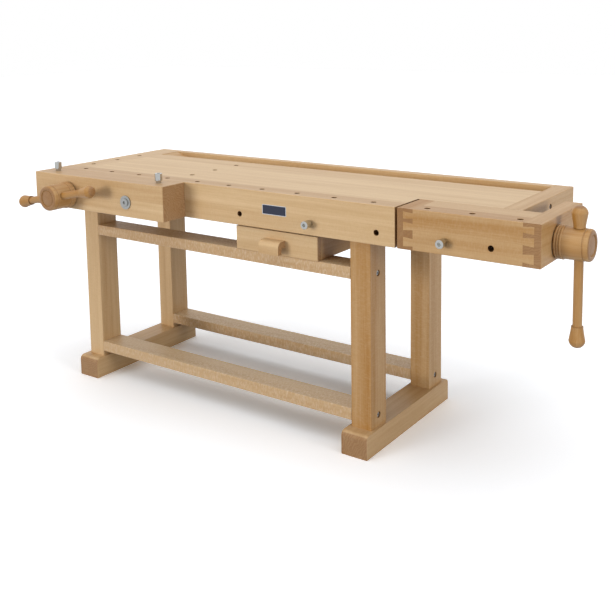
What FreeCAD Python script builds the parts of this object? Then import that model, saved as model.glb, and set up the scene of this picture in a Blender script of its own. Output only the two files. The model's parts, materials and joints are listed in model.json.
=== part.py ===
"""Woodworking bench with a front vise and an L-shaped tail vise.

Frame: millimetres, +Z up, +X along the bench towards the tail vise, +Y from the front
edge to the back. The pieces are drawn about the floor point under the middle of the four
legs, and written out about the floor point under the middle of the whole bench.
"""
import FreeCAD
import Part
import math
import os

V = FreeCAD.Vector
X_AXIS = V(1, 0, 0)
Y_AXIS = V(0, 1, 0)
Z_AXIS = V(0, 0, 1)
TINY = 1e-4                   # lengths closer than this are the same

# ---- trestle -----------------------------------------------------------------
LEG_PITCH_Y = 418.0           # between leg centres across the bench
LEG_WIDTH = 78.0              # along X
LEG_DEPTH = 100.0             # along Y
FOOT_WIDTH = 100.0
FOOT_HEIGHT = 82.0
FOOT_NOSE = 48.0              # foot beyond the front leg
FOOT_HEEL = 35.0              # foot beyond the rear leg
FOOT_ROUND = 18.0             # rounding of the nose and heel
TENON_LENGTH = 45.0           # leg tenon in the foot
TENON_WIDTH = 34.0
TENON_DEPTH = 60.0
STRETCHER_THICK = 41.0
LOWER_STRETCHER_Z = 102.0     # underside above the floor
UPPER_STRETCHER_DROP = 133.0  # underside below the leg tops
BEARER_WIDTH = 42.0
BEARER_SETBACK = 64.0         # bearer front end behind the front face of the leg

# ---- top -----------------------------------------------------------------------
TOP_HEIGHT = 860.0
TOP_LENGTH = 1960.0           # left end to the outer face of the right end cap
TOP_DEPTH = 630.0             # apron front to the back of the back rail
LEFT_OVERHANG = 130.0         # top beyond the left legs
RIGHT_OVERHANG = 460.0        # and beyond the right legs
FRONT_SETBACK = 16.0          # legs behind the apron front
TAIL_END_LENGTH = 360.0       # apron's right end from the right end of the top
APRON_HEIGHT = 132.0
APRON_THICK = 72.0
SLAB_THICK = 50.0
LEFT_CAP_WIDTH = 120.0
RIGHT_CAP_WIDTH = 62.0
CAP_HEIGHT = 80.0             # end caps and back rail
BACK_RAIL_THICK = 38.0
TRAY_WIDTH = 102.0
TRAY_DEPTH = 32.0
TRAY_FLOOR_THICK = 12.0
TRAY_GROOVE = 8.0             # depth of the grooves that hold the tray floor
RAMP_LENGTH = 95.0
RAMP_TOE = 1.5                # thickness of the ramp at its thin end
RAMP_HEAD = 4.0               # flat at the high end of the ramp
EDGE_EASE = 1.5               # small chamfer on the exposed edges

# ---- dog holes -----------------------------------------------------------------
DOG_HOLE_RADIUS = 10.0
DOG_PITCH = 152.4
FIRST_DOG_X = 130.0           # first hole from the left end of the top
LAST_DOG_INSET = 90.0         # least wood from the last hole to the end of the apron
ROW_INSETS = (60.0, 621.0)    # cross rows from the left end of the top
JAW_DOG_INSETS = (71.0, 632.0)  # dog holes of the front jaw from its left end
ROW_FIRST_Y = 139.0           # first hole of a cross row behind the apron front
ROW_PITCH = 135.0
ROW_COUNT = 3
FACE_HOLE_DROP = 91.0         # horizontal holes below the top surface
LAST_FACE_HOLE_INSET = 68.0   # last horizontal hole from the right end of the apron

# ---- round dogs ----------------------------------------------------------------
DOG_SHANK_RADIUS = 9.6
DOG_SHANK_LENGTH = 58.0
DOG_HEAD_RADIUS = 14.0
DOG_HEAD_HEIGHT = 28.0
DOG_RAISED = 8.0              # neck standing out of its hole
DOG_SOCKET_RADIUS = 6.0
DOG_SOCKET_DEPTH = 9.0
DOG_CHAMFER = 1.2
DOG_GROOVE_WIDTH = 4.0        # groove of the grip spring round the shank
DOG_GROOVE_DEPTH = 1.4

# ---- screws, shared by both vises ----------------------------------------------
SCREW_DROP = 76.0             # screw axis below the top surface
SPINDLE_RADIUS = 14.0
SPINDLE_IN_HUB = 44.0
RUNNING_GAP = 0.3             # between a turning or sliding round and its bore
HUB_RADIUS = 49.0
HUB_FLANGE_RADIUS = 52.0
HUB_LENGTH = 104.0
HUB_RIB_COUNT = 3
HUB_RIB_WIDTH = 8.0
HUB_RIB_DEPTH = 2.5
HUB_RIB_SLOPE = 2.5           # sloping side of a rib, along the hub
HUB_END_ROUND = 9.0
HUB_GROOVE_FROM_END = 20.0
HUB_GROOVE_WIDTH = 5.0
HUB_GROOVE_DEPTH = 2.0
HUB_DISH_RADIUS = 33.0
HUB_DISH_DEPTH = 3.0
HUB_PLATE_RADIUS = 40.0
HUB_PLATE_THICK = 2.5
HUB_PLATE_GAP = 0.5
BAR_FROM_HUB_FOOT = 63.0      # bar axis from the inner end of the hub
BAR_RADIUS = 14.0
BAR_HOLE_GAP = 0.5
BAR_LENGTH = 300.0            # between the knob shoulders
BAR_REST_GAP = 0.4            # hanging knob to the hub
BAR_TENON = 24.0              # bar inside each knob
BAR_TENON_RADIUS = 9.0
KNOB_LENGTH = 65.0
KNOB_SHOULDER_RADIUS = 18.0
KNOB_BELLY_RADIUS = 24.5
KNOB_BELLY = 44.0             # widest place from the shoulder
KNOB_WAIST = 24.0             # middle of the widening curve, from the shoulder
KNOB_WAIST_RADIUS = 20.9
KNOB_CONE = 56.5              # middle of the blunt cone, from the shoulder
KNOB_CONE_RADIUS = 19.8
KNOB_TIP_RADIUS = 9.0
KNOB_COLLAR = 6.0             # straight step at the shoulder
COLLAR_RADIUS = 22.0
COLLAR_THICK = 9.0
COLLAR_GAP = 0.5
NUT_RADIUS = 22.0
NUT_PLATE_WIDTH = 44.0
NUT_PLATE_THICK = 8.0
NUT_PLATE_GAP = 1.0           # below the slab
NUT_PLATE_DROP = 36.0         # underside below the screw axis

# ---- front vise ----------------------------------------------------------------
JAW_LENGTH = 706.0
JAW_THICK = 116.0
JAW_GAP = 0.5                 # closed jaw to apron
FRONT_SCREW_X = 195.0         # from the left end of the jaw
GUIDE_X = 515.0
FRONT_SPINDLE_REACH = 264.0   # spindle behind the apron front, vise closed
FRONT_NUT_LENGTH = 58.0
GUIDE_RADIUS = 15.0
GUIDE_REACH = 330.0
GUIDE_HEAD_SEAT = 9.0         # rod end behind the jaw face
WASHER_RADIUS = 26.0
WASHER_THICK = 4.0
GUIDE_BOLT_HEAD_RADIUS = 15.0
GUIDE_BOLT_HEAD_HEIGHT = 5.0
GUIDE_BOLT_CHAMFER = 1.0
GUIDE_BOLT_RADIUS = 7.0
GUIDE_BOLT_LENGTH = 45.0
HEX_SOCKET = 12.0             # across the flats
HEX_DEPTH = 4.0
BUSH_WALL = 5.0
BUSH_FLANGE = 6.0             # how far the bush flange stands out
BUSH_FLANGE_THICK = 5.0
GUIDE_BLOCK_SETBACK = 91.0    # behind the apron
GUIDE_BLOCK_LENGTH = 50.0
GUIDE_BLOCK_WIDTH = 84.0
GUIDE_BLOCK_DROP = 64.0       # underside below the slab
FRONT_BAR_TILT = 11.0         # degrees
FRONT_BAR_OFFSET = 5.0

# ---- tail vise -----------------------------------------------------------------
VISE_GAP = 8.0                # jaws as drawn, a little open
TAIL_LENGTH = 472.0           # along the bench
TAIL_DEPTH = 157.0
TAIL_SIDE_GAP = 1.0           # to the slab and the guide beam behind it
TAIL_REACH = 361.0            # how far the end cap runs back
TAIL_END_THICK = 56.0         # jaw block and end cap
DOVETAIL_LAP = 22.0
DOVETAIL_FLARE = 3.0
DOVETAILS = ((10.0, 33.0), (43.0, 70.0), (92.0, 122.0))
TAIL_COVER_THICK = 28.0
TAIL_SCREW_Y = 132.0          # screw axis behind the apron front
TAIL_FIRST_DOG = 89.0
TAIL_DOG_COUNT = 3
TAIL_SPINDLE_LENGTH = 383.0   # hub foot to the free end
GUIDE_STRIP_WIDTH = 22.0
GUIDE_STRIP_HEIGHT = 24.0
TONGUE_HEIGHT = 12.0
TONGUE_LENGTH = 12.0
TONGUE_FROM_BOTTOM = 6.0
SLIDE_GAP = 0.5
BEAM_WIDTH = 42.0
TAIL_NUT_LENGTH = 60.0
TAIL_NUT_HEIGHT = 60.0
TAIL_NUT_FROM_CAP = 2.0
TAIL_NUT_CHAMFER = 8.0
BAR_GUIDE_Y = 322.0           # centre of the guide bar behind the apron front
BAR_GUIDE_WIDTH = 45.0
BAR_GUIDE_HEIGHT = 45.0
BAR_GUIDE_CLEAR = 3.0         # guide bar below the right end cap
BAR_GUIDE_LENGTH = 512.0      # inner face of the vise cap to the free end
BAR_GUIDE_TENON = 28.0
GUIDE_HANGER_LENGTH = 60.0
GUIDE_HANGER_WALL = 20.0
GUIDE_HANGER_FLOOR = 12.0
GUIDE_HANGER_INSETS = (8.0, 218.0)   # right ends from the right end cap

# ---- drawer --------------------------------------------------------------------
DRAWER_FROM_LEG = 128.0       # right side from the right front leg
DRAWER_WIDTH = 354.0
DRAWER_DEPTH = 430.0
DRAWER_BOTTOM_GAP = 1.0       # above the upper stretcher
DRAWER_TOP_GAP = 7.0          # below the apron
DRAWER_SETBACK = 13.0
DRAWER_FRONT_THICK = 20.0
DRAWER_SIDE_THICK = 13.0
DRAWER_BOTTOM_THICK = 6.0
DRAWER_BOTTOM_RISE = 8.0
DRAWER_GROOVE = 6.0
DRAWER_BACK_THICK = 12.0
SLIP_WIDTH = 10.0
SLIP_HEIGHT = 12.0
SLIP_DROP = 5.0               # slip below the drawer top
RAIL_SETBACK = 58.0           # rails and slips behind the apron
RAIL_FOOT_HEIGHT = 10.0       # rail below its groove
RAIL_WEB = 18.0               # rail beside its groove
RAIL_GAP = 0.8                # drawer to rail
PULL_WIDTH = 86.0
PULL_HEIGHT = 45.0
PULL_DEPTH = 42.0
PULL_RISE = 10.0              # above the lower edge of the drawer front
PULL_OFFSET = -2.0            # pull centre from the drawer centre
PULL_LIP = 19.0
PULL_HOLLOW_HEIGHT = 22.0
PULL_HOLLOW_ROUND = 10.0
PULL_ROUND = 20.0

# ---- fasteners -----------------------------------------------------------------
BOLT_RADIUS = 5.0
BOLT_HEAD_RADIUS = 8.5
BOLT_HEAD_HEIGHT = 6.0
BOLT_SINK_RADIUS = 11.0
BOLT_SINK_DEPTH = 12.0
BOLT_GRIP = 62.0              # bolt centre of the barrel nut behind the joint
BARREL_RADIUS = 8.0
BARREL_LENGTH = 30.0
CAP_BOLT_DROP = 33.0
RIGHT_BOLT_Y = (220.0, 403.0)   # bolts of the right end cap, behind the apron front

# ---- places worked out from the sizes ------------------------------------------
LEG_X = (TOP_LENGTH - LEFT_OVERHANG - RIGHT_OVERHANG - LEG_WIDTH) / 2
LEG_Y = LEG_PITCH_Y / 2
TOP_LEFT = -(LEG_X + LEG_WIDTH / 2 + LEFT_OVERHANG)
TOP_RIGHT = TOP_LEFT + TOP_LENGTH
APRON_FRONT = -(LEG_Y + LEG_DEPTH / 2 + FRONT_SETBACK)
APRON_REAR = APRON_FRONT + APRON_THICK
APRON_RIGHT = TOP_RIGHT - TAIL_END_LENGTH
APRON_BOTTOM = TOP_HEIGHT - APRON_HEIGHT
SLAB_BOTTOM = TOP_HEIGHT - SLAB_THICK
SLAB_LEFT = TOP_LEFT + LEFT_CAP_WIDTH
SLAB_RIGHT = TOP_RIGHT - RIGHT_CAP_WIDTH
TOP_REAR = APRON_FRONT + TOP_DEPTH
RAIL_FRONT = TOP_REAR - BACK_RAIL_THICK
SLAB_REAR = RAIL_FRONT - TRAY_WIDTH
CAP_BOTTOM = TOP_HEIGHT - CAP_HEIGHT
TRAY_TOP = TOP_HEIGHT - TRAY_DEPTH
TRAY_BOTTOM = TRAY_TOP - TRAY_FLOOR_THICK
DOG_LINE_Y = APRON_FRONT + APRON_THICK / 2
FACE_HOLE_Z = TOP_HEIGHT - FACE_HOLE_DROP
SCREW_Z = TOP_HEIGHT - SCREW_DROP
LEG_TOP = APRON_BOTTOM
UPPER_STRETCHER_Z = LEG_TOP - UPPER_STRETCHER_DROP
BEARER_FRONT = -LEG_Y - LEG_DEPTH / 2 + BEARER_SETBACK
BEARER_REAR = LEG_Y + LEG_DEPTH / 2

JAW_REAR = APRON_FRONT - JAW_GAP
JAW_FRONT = JAW_REAR - JAW_THICK
JAW_RIGHT = TOP_LEFT + JAW_LENGTH
JAW_MIDDLE_Y = (JAW_FRONT + JAW_REAR) / 2
SCREW_X = TOP_LEFT + FRONT_SCREW_X
ROD_X = TOP_LEFT + GUIDE_X
HUB_STAND = HUB_PLATE_THICK + HUB_PLATE_GAP
FRONT_HUB_FOOT = JAW_FRONT - HUB_STAND
FRONT_BAR_Y = FRONT_HUB_FOOT - BAR_FROM_HUB_FOOT
BLOCK_FRONT = APRON_REAR + GUIDE_BLOCK_SETBACK
BLOCK_REAR = BLOCK_FRONT + GUIDE_BLOCK_LENGTH

TAIL_LEFT = APRON_RIGHT + VISE_GAP
TAIL_RIGHT = TAIL_LEFT + TAIL_LENGTH
TAIL_REAR = APRON_FRONT + TAIL_DEPTH
NOTCH_Y = TAIL_REAR + TAIL_SIDE_GAP
BLOCK_RIGHT = TAIL_LEFT + TAIL_END_THICK
CAP_LEFT = TAIL_RIGHT - TAIL_END_THICK
TAIL_AXIS_Y = APRON_FRONT + TAIL_SCREW_Y
TAIL_HUB_FOOT = TAIL_RIGHT + HUB_STAND
TAIL_BAR_X = TAIL_HUB_FOOT + BAR_FROM_HUB_FOOT
GUIDE_BAR_TOP = CAP_BOTTOM - BAR_GUIDE_CLEAR
GUIDE_BAR_BOTTOM = GUIDE_BAR_TOP - BAR_GUIDE_HEIGHT
GUIDE_BAR_Y = APRON_FRONT + BAR_GUIDE_Y
TONGUE_BOTTOM = APRON_BOTTOM + TONGUE_FROM_BOTTOM

DRAWER_RIGHT = LEG_X - LEG_WIDTH / 2 - DRAWER_FROM_LEG
DRAWER_LEFT = DRAWER_RIGHT - DRAWER_WIDTH
DRAWER_BOTTOM = UPPER_STRETCHER_Z + STRETCHER_THICK + DRAWER_BOTTOM_GAP
DRAWER_TOP = APRON_BOTTOM - DRAWER_TOP_GAP
DRAWER_FACE = APRON_FRONT + DRAWER_SETBACK
DRAWER_BACK = DRAWER_FACE + DRAWER_DEPTH
BOX_FRONT = DRAWER_FACE + DRAWER_FRONT_THICK
PANEL_BOTTOM = DRAWER_BOTTOM + DRAWER_BOTTOM_RISE
SLIP_TOP = DRAWER_TOP - SLIP_DROP
SLIP_BOTTOM = SLIP_TOP - SLIP_HEIGHT
DRAWER_RAIL_FRONT = APRON_REAR + RAIL_SETBACK


# ---- shape helpers -------------------------------------------------------------
def block(x0, x1, y0, y1, z0, z1):
    """Box between two corners."""
    return Part.makeBox(x1 - x0, y1 - y0, z1 - z0, V(x0, y0, z0))


def rod(radius, start, end):
    """Cylinder between two points."""
    along = end - start
    return Part.makeCylinder(radius, along.Length, start, along)


def ring(outer, inner, start, end):
    """Tube between two points."""
    return rod(outer, start, end).cut(rod(inner, start, end))


def prism(points, along):
    """Closed outline swept along a vector."""
    wire = Part.makePolygon(points + points[:1])
    return Part.Face(wire).extrude(along)


def turned(profile, centre, along):
    """Solid of revolution: profile holds (distance along, radius) or arcs of three such points."""
    side = X_AXIS if abs(along.x) < 0.5 else Y_AXIS
    side = along.cross(side).normalize()

    def place(point):
        return centre + along * point[0] + side * point[1]

    first, last = profile[0][0], profile[-1][-1]
    edges = [Part.makeLine(centre + along * first[0], place(first))] if first[1] > 0 else []
    for run in profile:
        if len(run) == 2:
            edges.append(Part.makeLine(place(run[0]), place(run[1])))
        else:
            edges.append(Part.Arc(place(run[0]), place(run[1]), place(run[2])).toShape())
    if last[1] > 0:
        edges.append(Part.makeLine(place(last), centre + along * last[0]))
    edges.append(Part.makeLine(centre + along * last[0], centre + along * first[0]))
    return Part.Face(Part.Wire(edges)).revolve(centre, along, 360)


def eased(shape, picks, size=EDGE_EASE):
    """Chamfers the straight edges that lie on every pair of planes in picks.

    A plane is an axis letter and a value, such as ("z", 860).
    """
    chosen = []
    for edge in shape.Edges:
        box = edge.BoundBox
        spans = {"x": (box.XMin, box.XMax), "y": (box.YMin, box.YMax), "z": (box.ZMin, box.ZMax)}
        for planes in picks:
            flat = [max(abs(spans[axis][0] - at), abs(spans[axis][1] - at)) < TINY for axis, at in planes]
            if all(flat):
                chosen.append(edge)
                break
    return shape.makeChamfer(size, chosen)


def long_edges(axis_pairs):
    """Every pair of one plane from each of two lists."""
    first, second = axis_pairs
    return [(a, b) for a in first for b in second]


# ---- trestle -------------------------------------------------------------------
def foot(side):
    """Sled foot along Y with a rounded nose and heel and two mortises."""
    x = side * LEG_X
    front = -LEG_Y - LEG_DEPTH / 2 - FOOT_NOSE
    rear = LEG_Y + LEG_DEPTH / 2 + FOOT_HEEL
    body = block(x - FOOT_WIDTH / 2, x + FOOT_WIDTH / 2, front, rear, 0, FOOT_HEIGHT)
    ends = [e for e in body.Edges if abs(e.BoundBox.XLength - FOOT_WIDTH) < TINY and e.BoundBox.ZMin > TINY]
    body = body.makeFillet(FOOT_ROUND, ends)
    for y in (-LEG_Y, LEG_Y):
        body = body.cut(tenon(x, y))
    return body


def tenon(x, y):
    """Tenon at the lower end of a leg."""
    return block(x - TENON_WIDTH / 2, x + TENON_WIDTH / 2, y - TENON_DEPTH / 2, y + TENON_DEPTH / 2,
                 FOOT_HEIGHT - TENON_LENGTH, FOOT_HEIGHT)


def leg(side, y):
    """Leg with its tenon and the sunk bolt holes of the stretchers that meet it."""
    x = side * LEG_X
    body = block(x - LEG_WIDTH / 2, x + LEG_WIDTH / 2, y - LEG_DEPTH / 2, y + LEG_DEPTH / 2,
                 FOOT_HEIGHT, LEG_TOP)
    planes = long_edges(([("x", x - LEG_WIDTH / 2), ("x", x + LEG_WIDTH / 2)],
                         [("y", y - LEG_DEPTH / 2), ("y", y + LEG_DEPTH / 2)]))
    body = eased(body, planes).fuse(tenon(x, y)).removeSplitter()
    for z in bolt_heights(y):
        body = body.cut(bolt_hole(side, y, z))
    return body


def bolt_heights(y):
    """Heights of the stretcher bolts in a front or rear leg."""
    heights = [LOWER_STRETCHER_Z + STRETCHER_THICK / 2]
    if y < 0:
        heights.append(UPPER_STRETCHER_Z + STRETCHER_THICK / 2)
    return heights


def bolt_line(side, y, z):
    """Outer leg face, seat of the bolt head and centre of its barrel nut."""
    outer = side * (LEG_X + LEG_WIDTH / 2)
    seat = outer - side * BOLT_SINK_DEPTH
    barrel = side * (LEG_X - LEG_WIDTH / 2 - BOLT_GRIP)
    return V(outer, y, z), V(seat, y, z), V(barrel, y, z)


def bolt_hole(side, y, z):
    """Sunk hole for one stretcher bolt, from the leg face to its barrel nut."""
    outer, seat, barrel = bolt_line(side, y, z)
    return rod(BOLT_SINK_RADIUS, outer, seat).fuse(rod(BOLT_RADIUS, seat, barrel))


def bolt_set(outer_side, seat, barrel, barrel_axis):
    """Hexagon-socket bolt and its barrel nut."""
    head_top = seat + outer_side * BOLT_HEAD_HEIGHT
    bolt = rod(BOLT_RADIUS, barrel, seat).fuse(rod(BOLT_HEAD_RADIUS, seat, head_top))
    half = barrel_axis * (BARREL_LENGTH / 2)
    nut = rod(BARREL_RADIUS, barrel - half, barrel + half).cut(rod(BOLT_RADIUS, barrel, seat))
    return [bolt.removeSplitter(), nut]


def stretcher_joints():
    """Every (side, y, z) where a stretcher is bolted to a leg."""
    return [(side, y, z) for side in (-1, 1) for y in (-LEG_Y, LEG_Y) for z in bolt_heights(y)]


def stretcher(y, z):
    """Flat rail between two legs, as deep as they are."""
    half = LEG_X - LEG_WIDTH / 2
    body = block(-half, half, y - LEG_DEPTH / 2, y + LEG_DEPTH / 2, z, z + STRETCHER_THICK)
    body = eased(body, long_edges(([("y", y - LEG_DEPTH / 2), ("y", y + LEG_DEPTH / 2)],
                                   [("z", z), ("z", z + STRETCHER_THICK)])))
    middle = z + STRETCHER_THICK / 2
    for side in (-1, 1):
        barrel = bolt_line(side, y, middle)[2]
        half_nut = Z_AXIS * (BARREL_LENGTH / 2)
        body = body.cut(bolt_hole(side, y, middle))
        body = body.cut(rod(BARREL_RADIUS, barrel - half_nut, barrel + half_nut))
    return body


def stretcher_bolts():
    """Bolts with their barrel nuts."""
    solids = []
    for side, y, z in stretcher_joints():
        _, seat, barrel = bolt_line(side, y, z)
        solids += bolt_set(X_AXIS * side, seat, barrel, Z_AXIS)
    return Part.makeCompound(solids)


def bearer(side):
    """Cross rail on two legs that carries the slab, flush with their outer faces."""
    outer = side * (LEG_X + LEG_WIDTH / 2)
    inner = outer - side * BEARER_WIDTH
    return block(min(outer, inner), max(outer, inner), BEARER_FRONT, BEARER_REAR, LEG_TOP, SLAB_BOTTOM)


# ---- top -----------------------------------------------------------------------
def dog_xs():
    """Vertical dog holes of the apron, as many as its length takes."""
    room = APRON_RIGHT - LAST_DOG_INSET - TOP_LEFT - FIRST_DOG_X
    return [TOP_LEFT + FIRST_DOG_X + DOG_PITCH * i for i in range(1 + int(room // DOG_PITCH))]


def face_hole_xs():
    """Horizontal dog holes of the apron: two midway between vertical ones, one near the jaw end."""
    xs = dog_xs()
    return [(xs[-5] + xs[-4]) / 2, (xs[-3] + xs[-2]) / 2, APRON_RIGHT - LAST_FACE_HOLE_INSET]


def row_points():
    """Dog holes of the cross rows: (x, y) pairs, one list for each row."""
    return [[(TOP_LEFT + inset, APRON_FRONT + ROW_FIRST_Y + ROW_PITCH * i) for i in range(ROW_COUNT)]
            for inset in ROW_INSETS]


def drill_down(body, points, bottom):
    """Cuts vertical dog holes from the top surface to a depth."""
    for x, y in points:
        body = body.cut(rod(DOG_HOLE_RADIUS, V(x, y, bottom), V(x, y, TOP_HEIGHT)))
    return body


def front_apron():
    """Thick front edge with vertical and horizontal dog holes, the screw nut and the guide bush."""
    body = block(TOP_LEFT, APRON_RIGHT, APRON_FRONT, APRON_REAR, APRON_BOTTOM, TOP_HEIGHT)
    body = eased(body, [(("y", APRON_FRONT), ("z", TOP_HEIGHT)), (("y", APRON_FRONT), ("z", APRON_BOTTOM)),
                        (("y", APRON_REAR), ("z", APRON_BOTTOM))])
    body = drill_down(body, [(x, DOG_LINE_Y) for x in dog_xs()], APRON_BOTTOM)
    for x in face_hole_xs():
        body = body.cut(rod(DOG_HOLE_RADIUS, V(x, APRON_FRONT, FACE_HOLE_Z), V(x, APRON_REAR, FACE_HOLE_Z)))
    front, rear = V(SCREW_X, APRON_FRONT, SCREW_Z), V(SCREW_X, APRON_REAR, SCREW_Z)
    body = body.cut(rod(SPINDLE_RADIUS + BAR_HOLE_GAP, front, rear))
    body = body.cut(rod(NUT_RADIUS, rear - Y_AXIS * FRONT_NUT_LENGTH, rear))
    front, rear = V(ROD_X, APRON_FRONT, SCREW_Z), V(ROD_X, APRON_REAR, SCREW_Z)
    return body.cut(rod(GUIDE_RADIUS + BUSH_WALL, front, rear))


def worktop_slab():
    """Slab behind the apron, notched at the right for the tail vise, grooved for the tray floor."""
    outline = [V(SLAB_LEFT, APRON_REAR, SLAB_BOTTOM), V(APRON_RIGHT, APRON_REAR, SLAB_BOTTOM),
               V(APRON_RIGHT, NOTCH_Y, SLAB_BOTTOM), V(SLAB_RIGHT, NOTCH_Y, SLAB_BOTTOM),
               V(SLAB_RIGHT, SLAB_REAR, SLAB_BOTTOM), V(SLAB_LEFT, SLAB_REAR, SLAB_BOTTOM)]
    body = prism(outline, Z_AXIS * SLAB_THICK)
    body = eased(body, [(("y", SLAB_REAR), ("z", TOP_HEIGHT))])
    body = body.cut(tray_panel())
    body = drill_down(body, row_points()[1], SLAB_BOTTOM)
    for x, y in cap_bolt_points():
        body = body.cut(cap_bolt_hole(x, y))
    return body


def cap_bolt_points():
    """Joint faces of the end caps with the slab, and the bolts' places along them.

    The left ones stand midway between the dog holes of that cap.
    """
    left_ys = [ROW_FIRST_Y + ROW_PITCH * (i + 0.5) for i in range(ROW_COUNT - 1)]
    return ([(SLAB_LEFT, APRON_FRONT + y) for y in left_ys]
            + [(SLAB_RIGHT, APRON_FRONT + y) for y in RIGHT_BOLT_Y])


def cap_bolt_line(joint_x, y):
    """Outer cap face, seat of the bolt head and centre of its barrel nut in the slab."""
    side = 1 if joint_x > 0 else -1
    outer = TOP_RIGHT if side > 0 else TOP_LEFT
    z = TOP_HEIGHT - CAP_BOLT_DROP
    return side, V(outer, y, z), V(outer - side * BOLT_SINK_DEPTH, y, z), V(joint_x - side * BOLT_GRIP, y, z)


def cap_bolt_hole(joint_x, y):
    """Sunk bolt hole with the pocket of its barrel nut, drilled from below."""
    _, outer, seat, barrel = cap_bolt_line(joint_x, y)
    pocket = rod(BARREL_RADIUS, V(barrel.x, barrel.y, SLAB_BOTTOM), barrel + Z_AXIS * (BARREL_LENGTH / 2))
    return rod(BOLT_SINK_RADIUS, outer, seat).fuse(rod(BOLT_RADIUS, seat, barrel)).fuse(pocket)


def cap_bolts():
    """Bolts of both end caps with their barrel nuts."""
    solids = []
    for x, y in cap_bolt_points():
        side, _, seat, barrel = cap_bolt_line(x, y)
        solids += bolt_set(X_AXIS * side, seat, barrel, Z_AXIS)
    return Part.makeCompound(solids)


def left_end_cap():
    """Wide end board with the first cross row of dog holes."""
    body = block(TOP_LEFT, SLAB_LEFT, APRON_REAR, TOP_REAR, CAP_BOTTOM, TOP_HEIGHT)
    body = eased(body, [(("x", TOP_LEFT), ("z", TOP_HEIGHT)), (("x", TOP_LEFT), ("z", CAP_BOTTOM)),
                        (("x", TOP_LEFT), ("y", TOP_REAR)), (("y", TOP_REAR), ("z", TOP_HEIGHT))])
    body = drill_down(body, row_points()[0], CAP_BOTTOM)
    return finish_cap(body, SLAB_LEFT)


def right_end_cap():
    """End board at the open end of the slab, behind the tail vise."""
    body = block(SLAB_RIGHT, TOP_RIGHT, NOTCH_Y, TOP_REAR, CAP_BOTTOM, TOP_HEIGHT)
    body = eased(body, [(("x", TOP_RIGHT), ("z", TOP_HEIGHT)), (("x", TOP_RIGHT), ("z", CAP_BOTTOM)),
                        (("x", TOP_RIGHT), ("y", TOP_REAR)), (("y", TOP_REAR), ("z", TOP_HEIGHT))])
    return finish_cap(body, SLAB_RIGHT)


def finish_cap(body, joint_x):
    """Tray groove and bolt holes of an end cap."""
    body = body.cut(tray_panel())
    for x, y in cap_bolt_points():
        if x == joint_x:
            body = body.cut(cap_bolt_hole(x, y))
    return body


def back_rail():
    """Rail behind the tool tray."""
    body = block(SLAB_LEFT, SLAB_RIGHT, RAIL_FRONT, TOP_REAR, CAP_BOTTOM, TOP_HEIGHT)
    body = eased(body, long_edges(([("y", RAIL_FRONT), ("y", TOP_REAR)], [("z", TOP_HEIGHT)])))
    return body.cut(tray_panel())


def tray_panel():
    """Tray floor, let into grooves on all four sides."""
    return block(SLAB_LEFT - TRAY_GROOVE, SLAB_RIGHT + TRAY_GROOVE, SLAB_REAR - TRAY_GROOVE,
                 RAIL_FRONT + TRAY_GROOVE, TRAY_BOTTOM, TRAY_TOP)


def tray_ramp():
    """Sloping block at the left end of the tray, for sweeping it out."""
    crest = TOP_HEIGHT - EDGE_EASE
    outline = [V(SLAB_LEFT, SLAB_REAR, TRAY_TOP), V(SLAB_LEFT + RAMP_LENGTH, SLAB_REAR, TRAY_TOP),
               V(SLAB_LEFT + RAMP_LENGTH, SLAB_REAR, TRAY_TOP + RAMP_TOE),
               V(SLAB_LEFT + RAMP_HEAD, SLAB_REAR, crest), V(SLAB_LEFT, SLAB_REAR, crest)]
    return prism(outline, Y_AXIS * TRAY_WIDTH)


# ---- turned parts of both screws -----------------------------------------------
def hub(centre, along, bar_line):
    """Turned wooden hub with ribs at its foot, a groove near its end and a dished face."""
    profile = []
    at = 0.0
    for _ in range(HUB_RIB_COUNT):
        low = HUB_FLANGE_RADIUS - HUB_RIB_DEPTH
        crest = (at + HUB_RIB_SLOPE, HUB_FLANGE_RADIUS)
        fall = (at + HUB_RIB_WIDTH - HUB_RIB_SLOPE, HUB_FLANGE_RADIUS)
        profile += [[(at, low), crest], [crest, fall], [fall, (at + HUB_RIB_WIDTH, low)]]
        at += HUB_RIB_WIDTH
    groove = HUB_LENGTH - HUB_GROOVE_FROM_END
    profile.append([(at, low), (at, HUB_RADIUS)])
    profile.append([(at, HUB_RADIUS), (groove, HUB_RADIUS)])
    bottom = (groove + HUB_GROOVE_WIDTH / 2, HUB_RADIUS - HUB_GROOVE_DEPTH)
    profile += [[(groove, HUB_RADIUS), bottom], [bottom, (groove + HUB_GROOVE_WIDTH, HUB_RADIUS)]]
    shoulder = HUB_LENGTH - HUB_END_ROUND
    corner = HUB_END_ROUND * (1 - math.sqrt(0.5))
    profile.append([(groove + HUB_GROOVE_WIDTH, HUB_RADIUS), (shoulder, HUB_RADIUS)])
    profile.append([(shoulder, HUB_RADIUS), (HUB_LENGTH - corner, HUB_RADIUS - corner),
                    (HUB_LENGTH, HUB_RADIUS - HUB_END_ROUND)])
    profile.append([(HUB_LENGTH, HUB_RADIUS - HUB_END_ROUND), (HUB_LENGTH, HUB_DISH_RADIUS)])
    profile.append([(HUB_LENGTH, HUB_DISH_RADIUS), (HUB_LENGTH - HUB_DISH_DEPTH, HUB_DISH_RADIUS)])
    profile = [run for run in profile if math.dist(run[0], run[-1]) > TINY]
    body = turned(profile, centre, along)
    body = body.cut(rod(SPINDLE_RADIUS, centre, centre + along * SPINDLE_IN_HUB))
    middle = centre + along * BAR_FROM_HUB_FOOT
    reach = bar_line * (HUB_FLANGE_RADIUS * 2)
    return body.cut(rod(BAR_RADIUS + BAR_HOLE_GAP, middle - reach, middle + reach))


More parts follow.
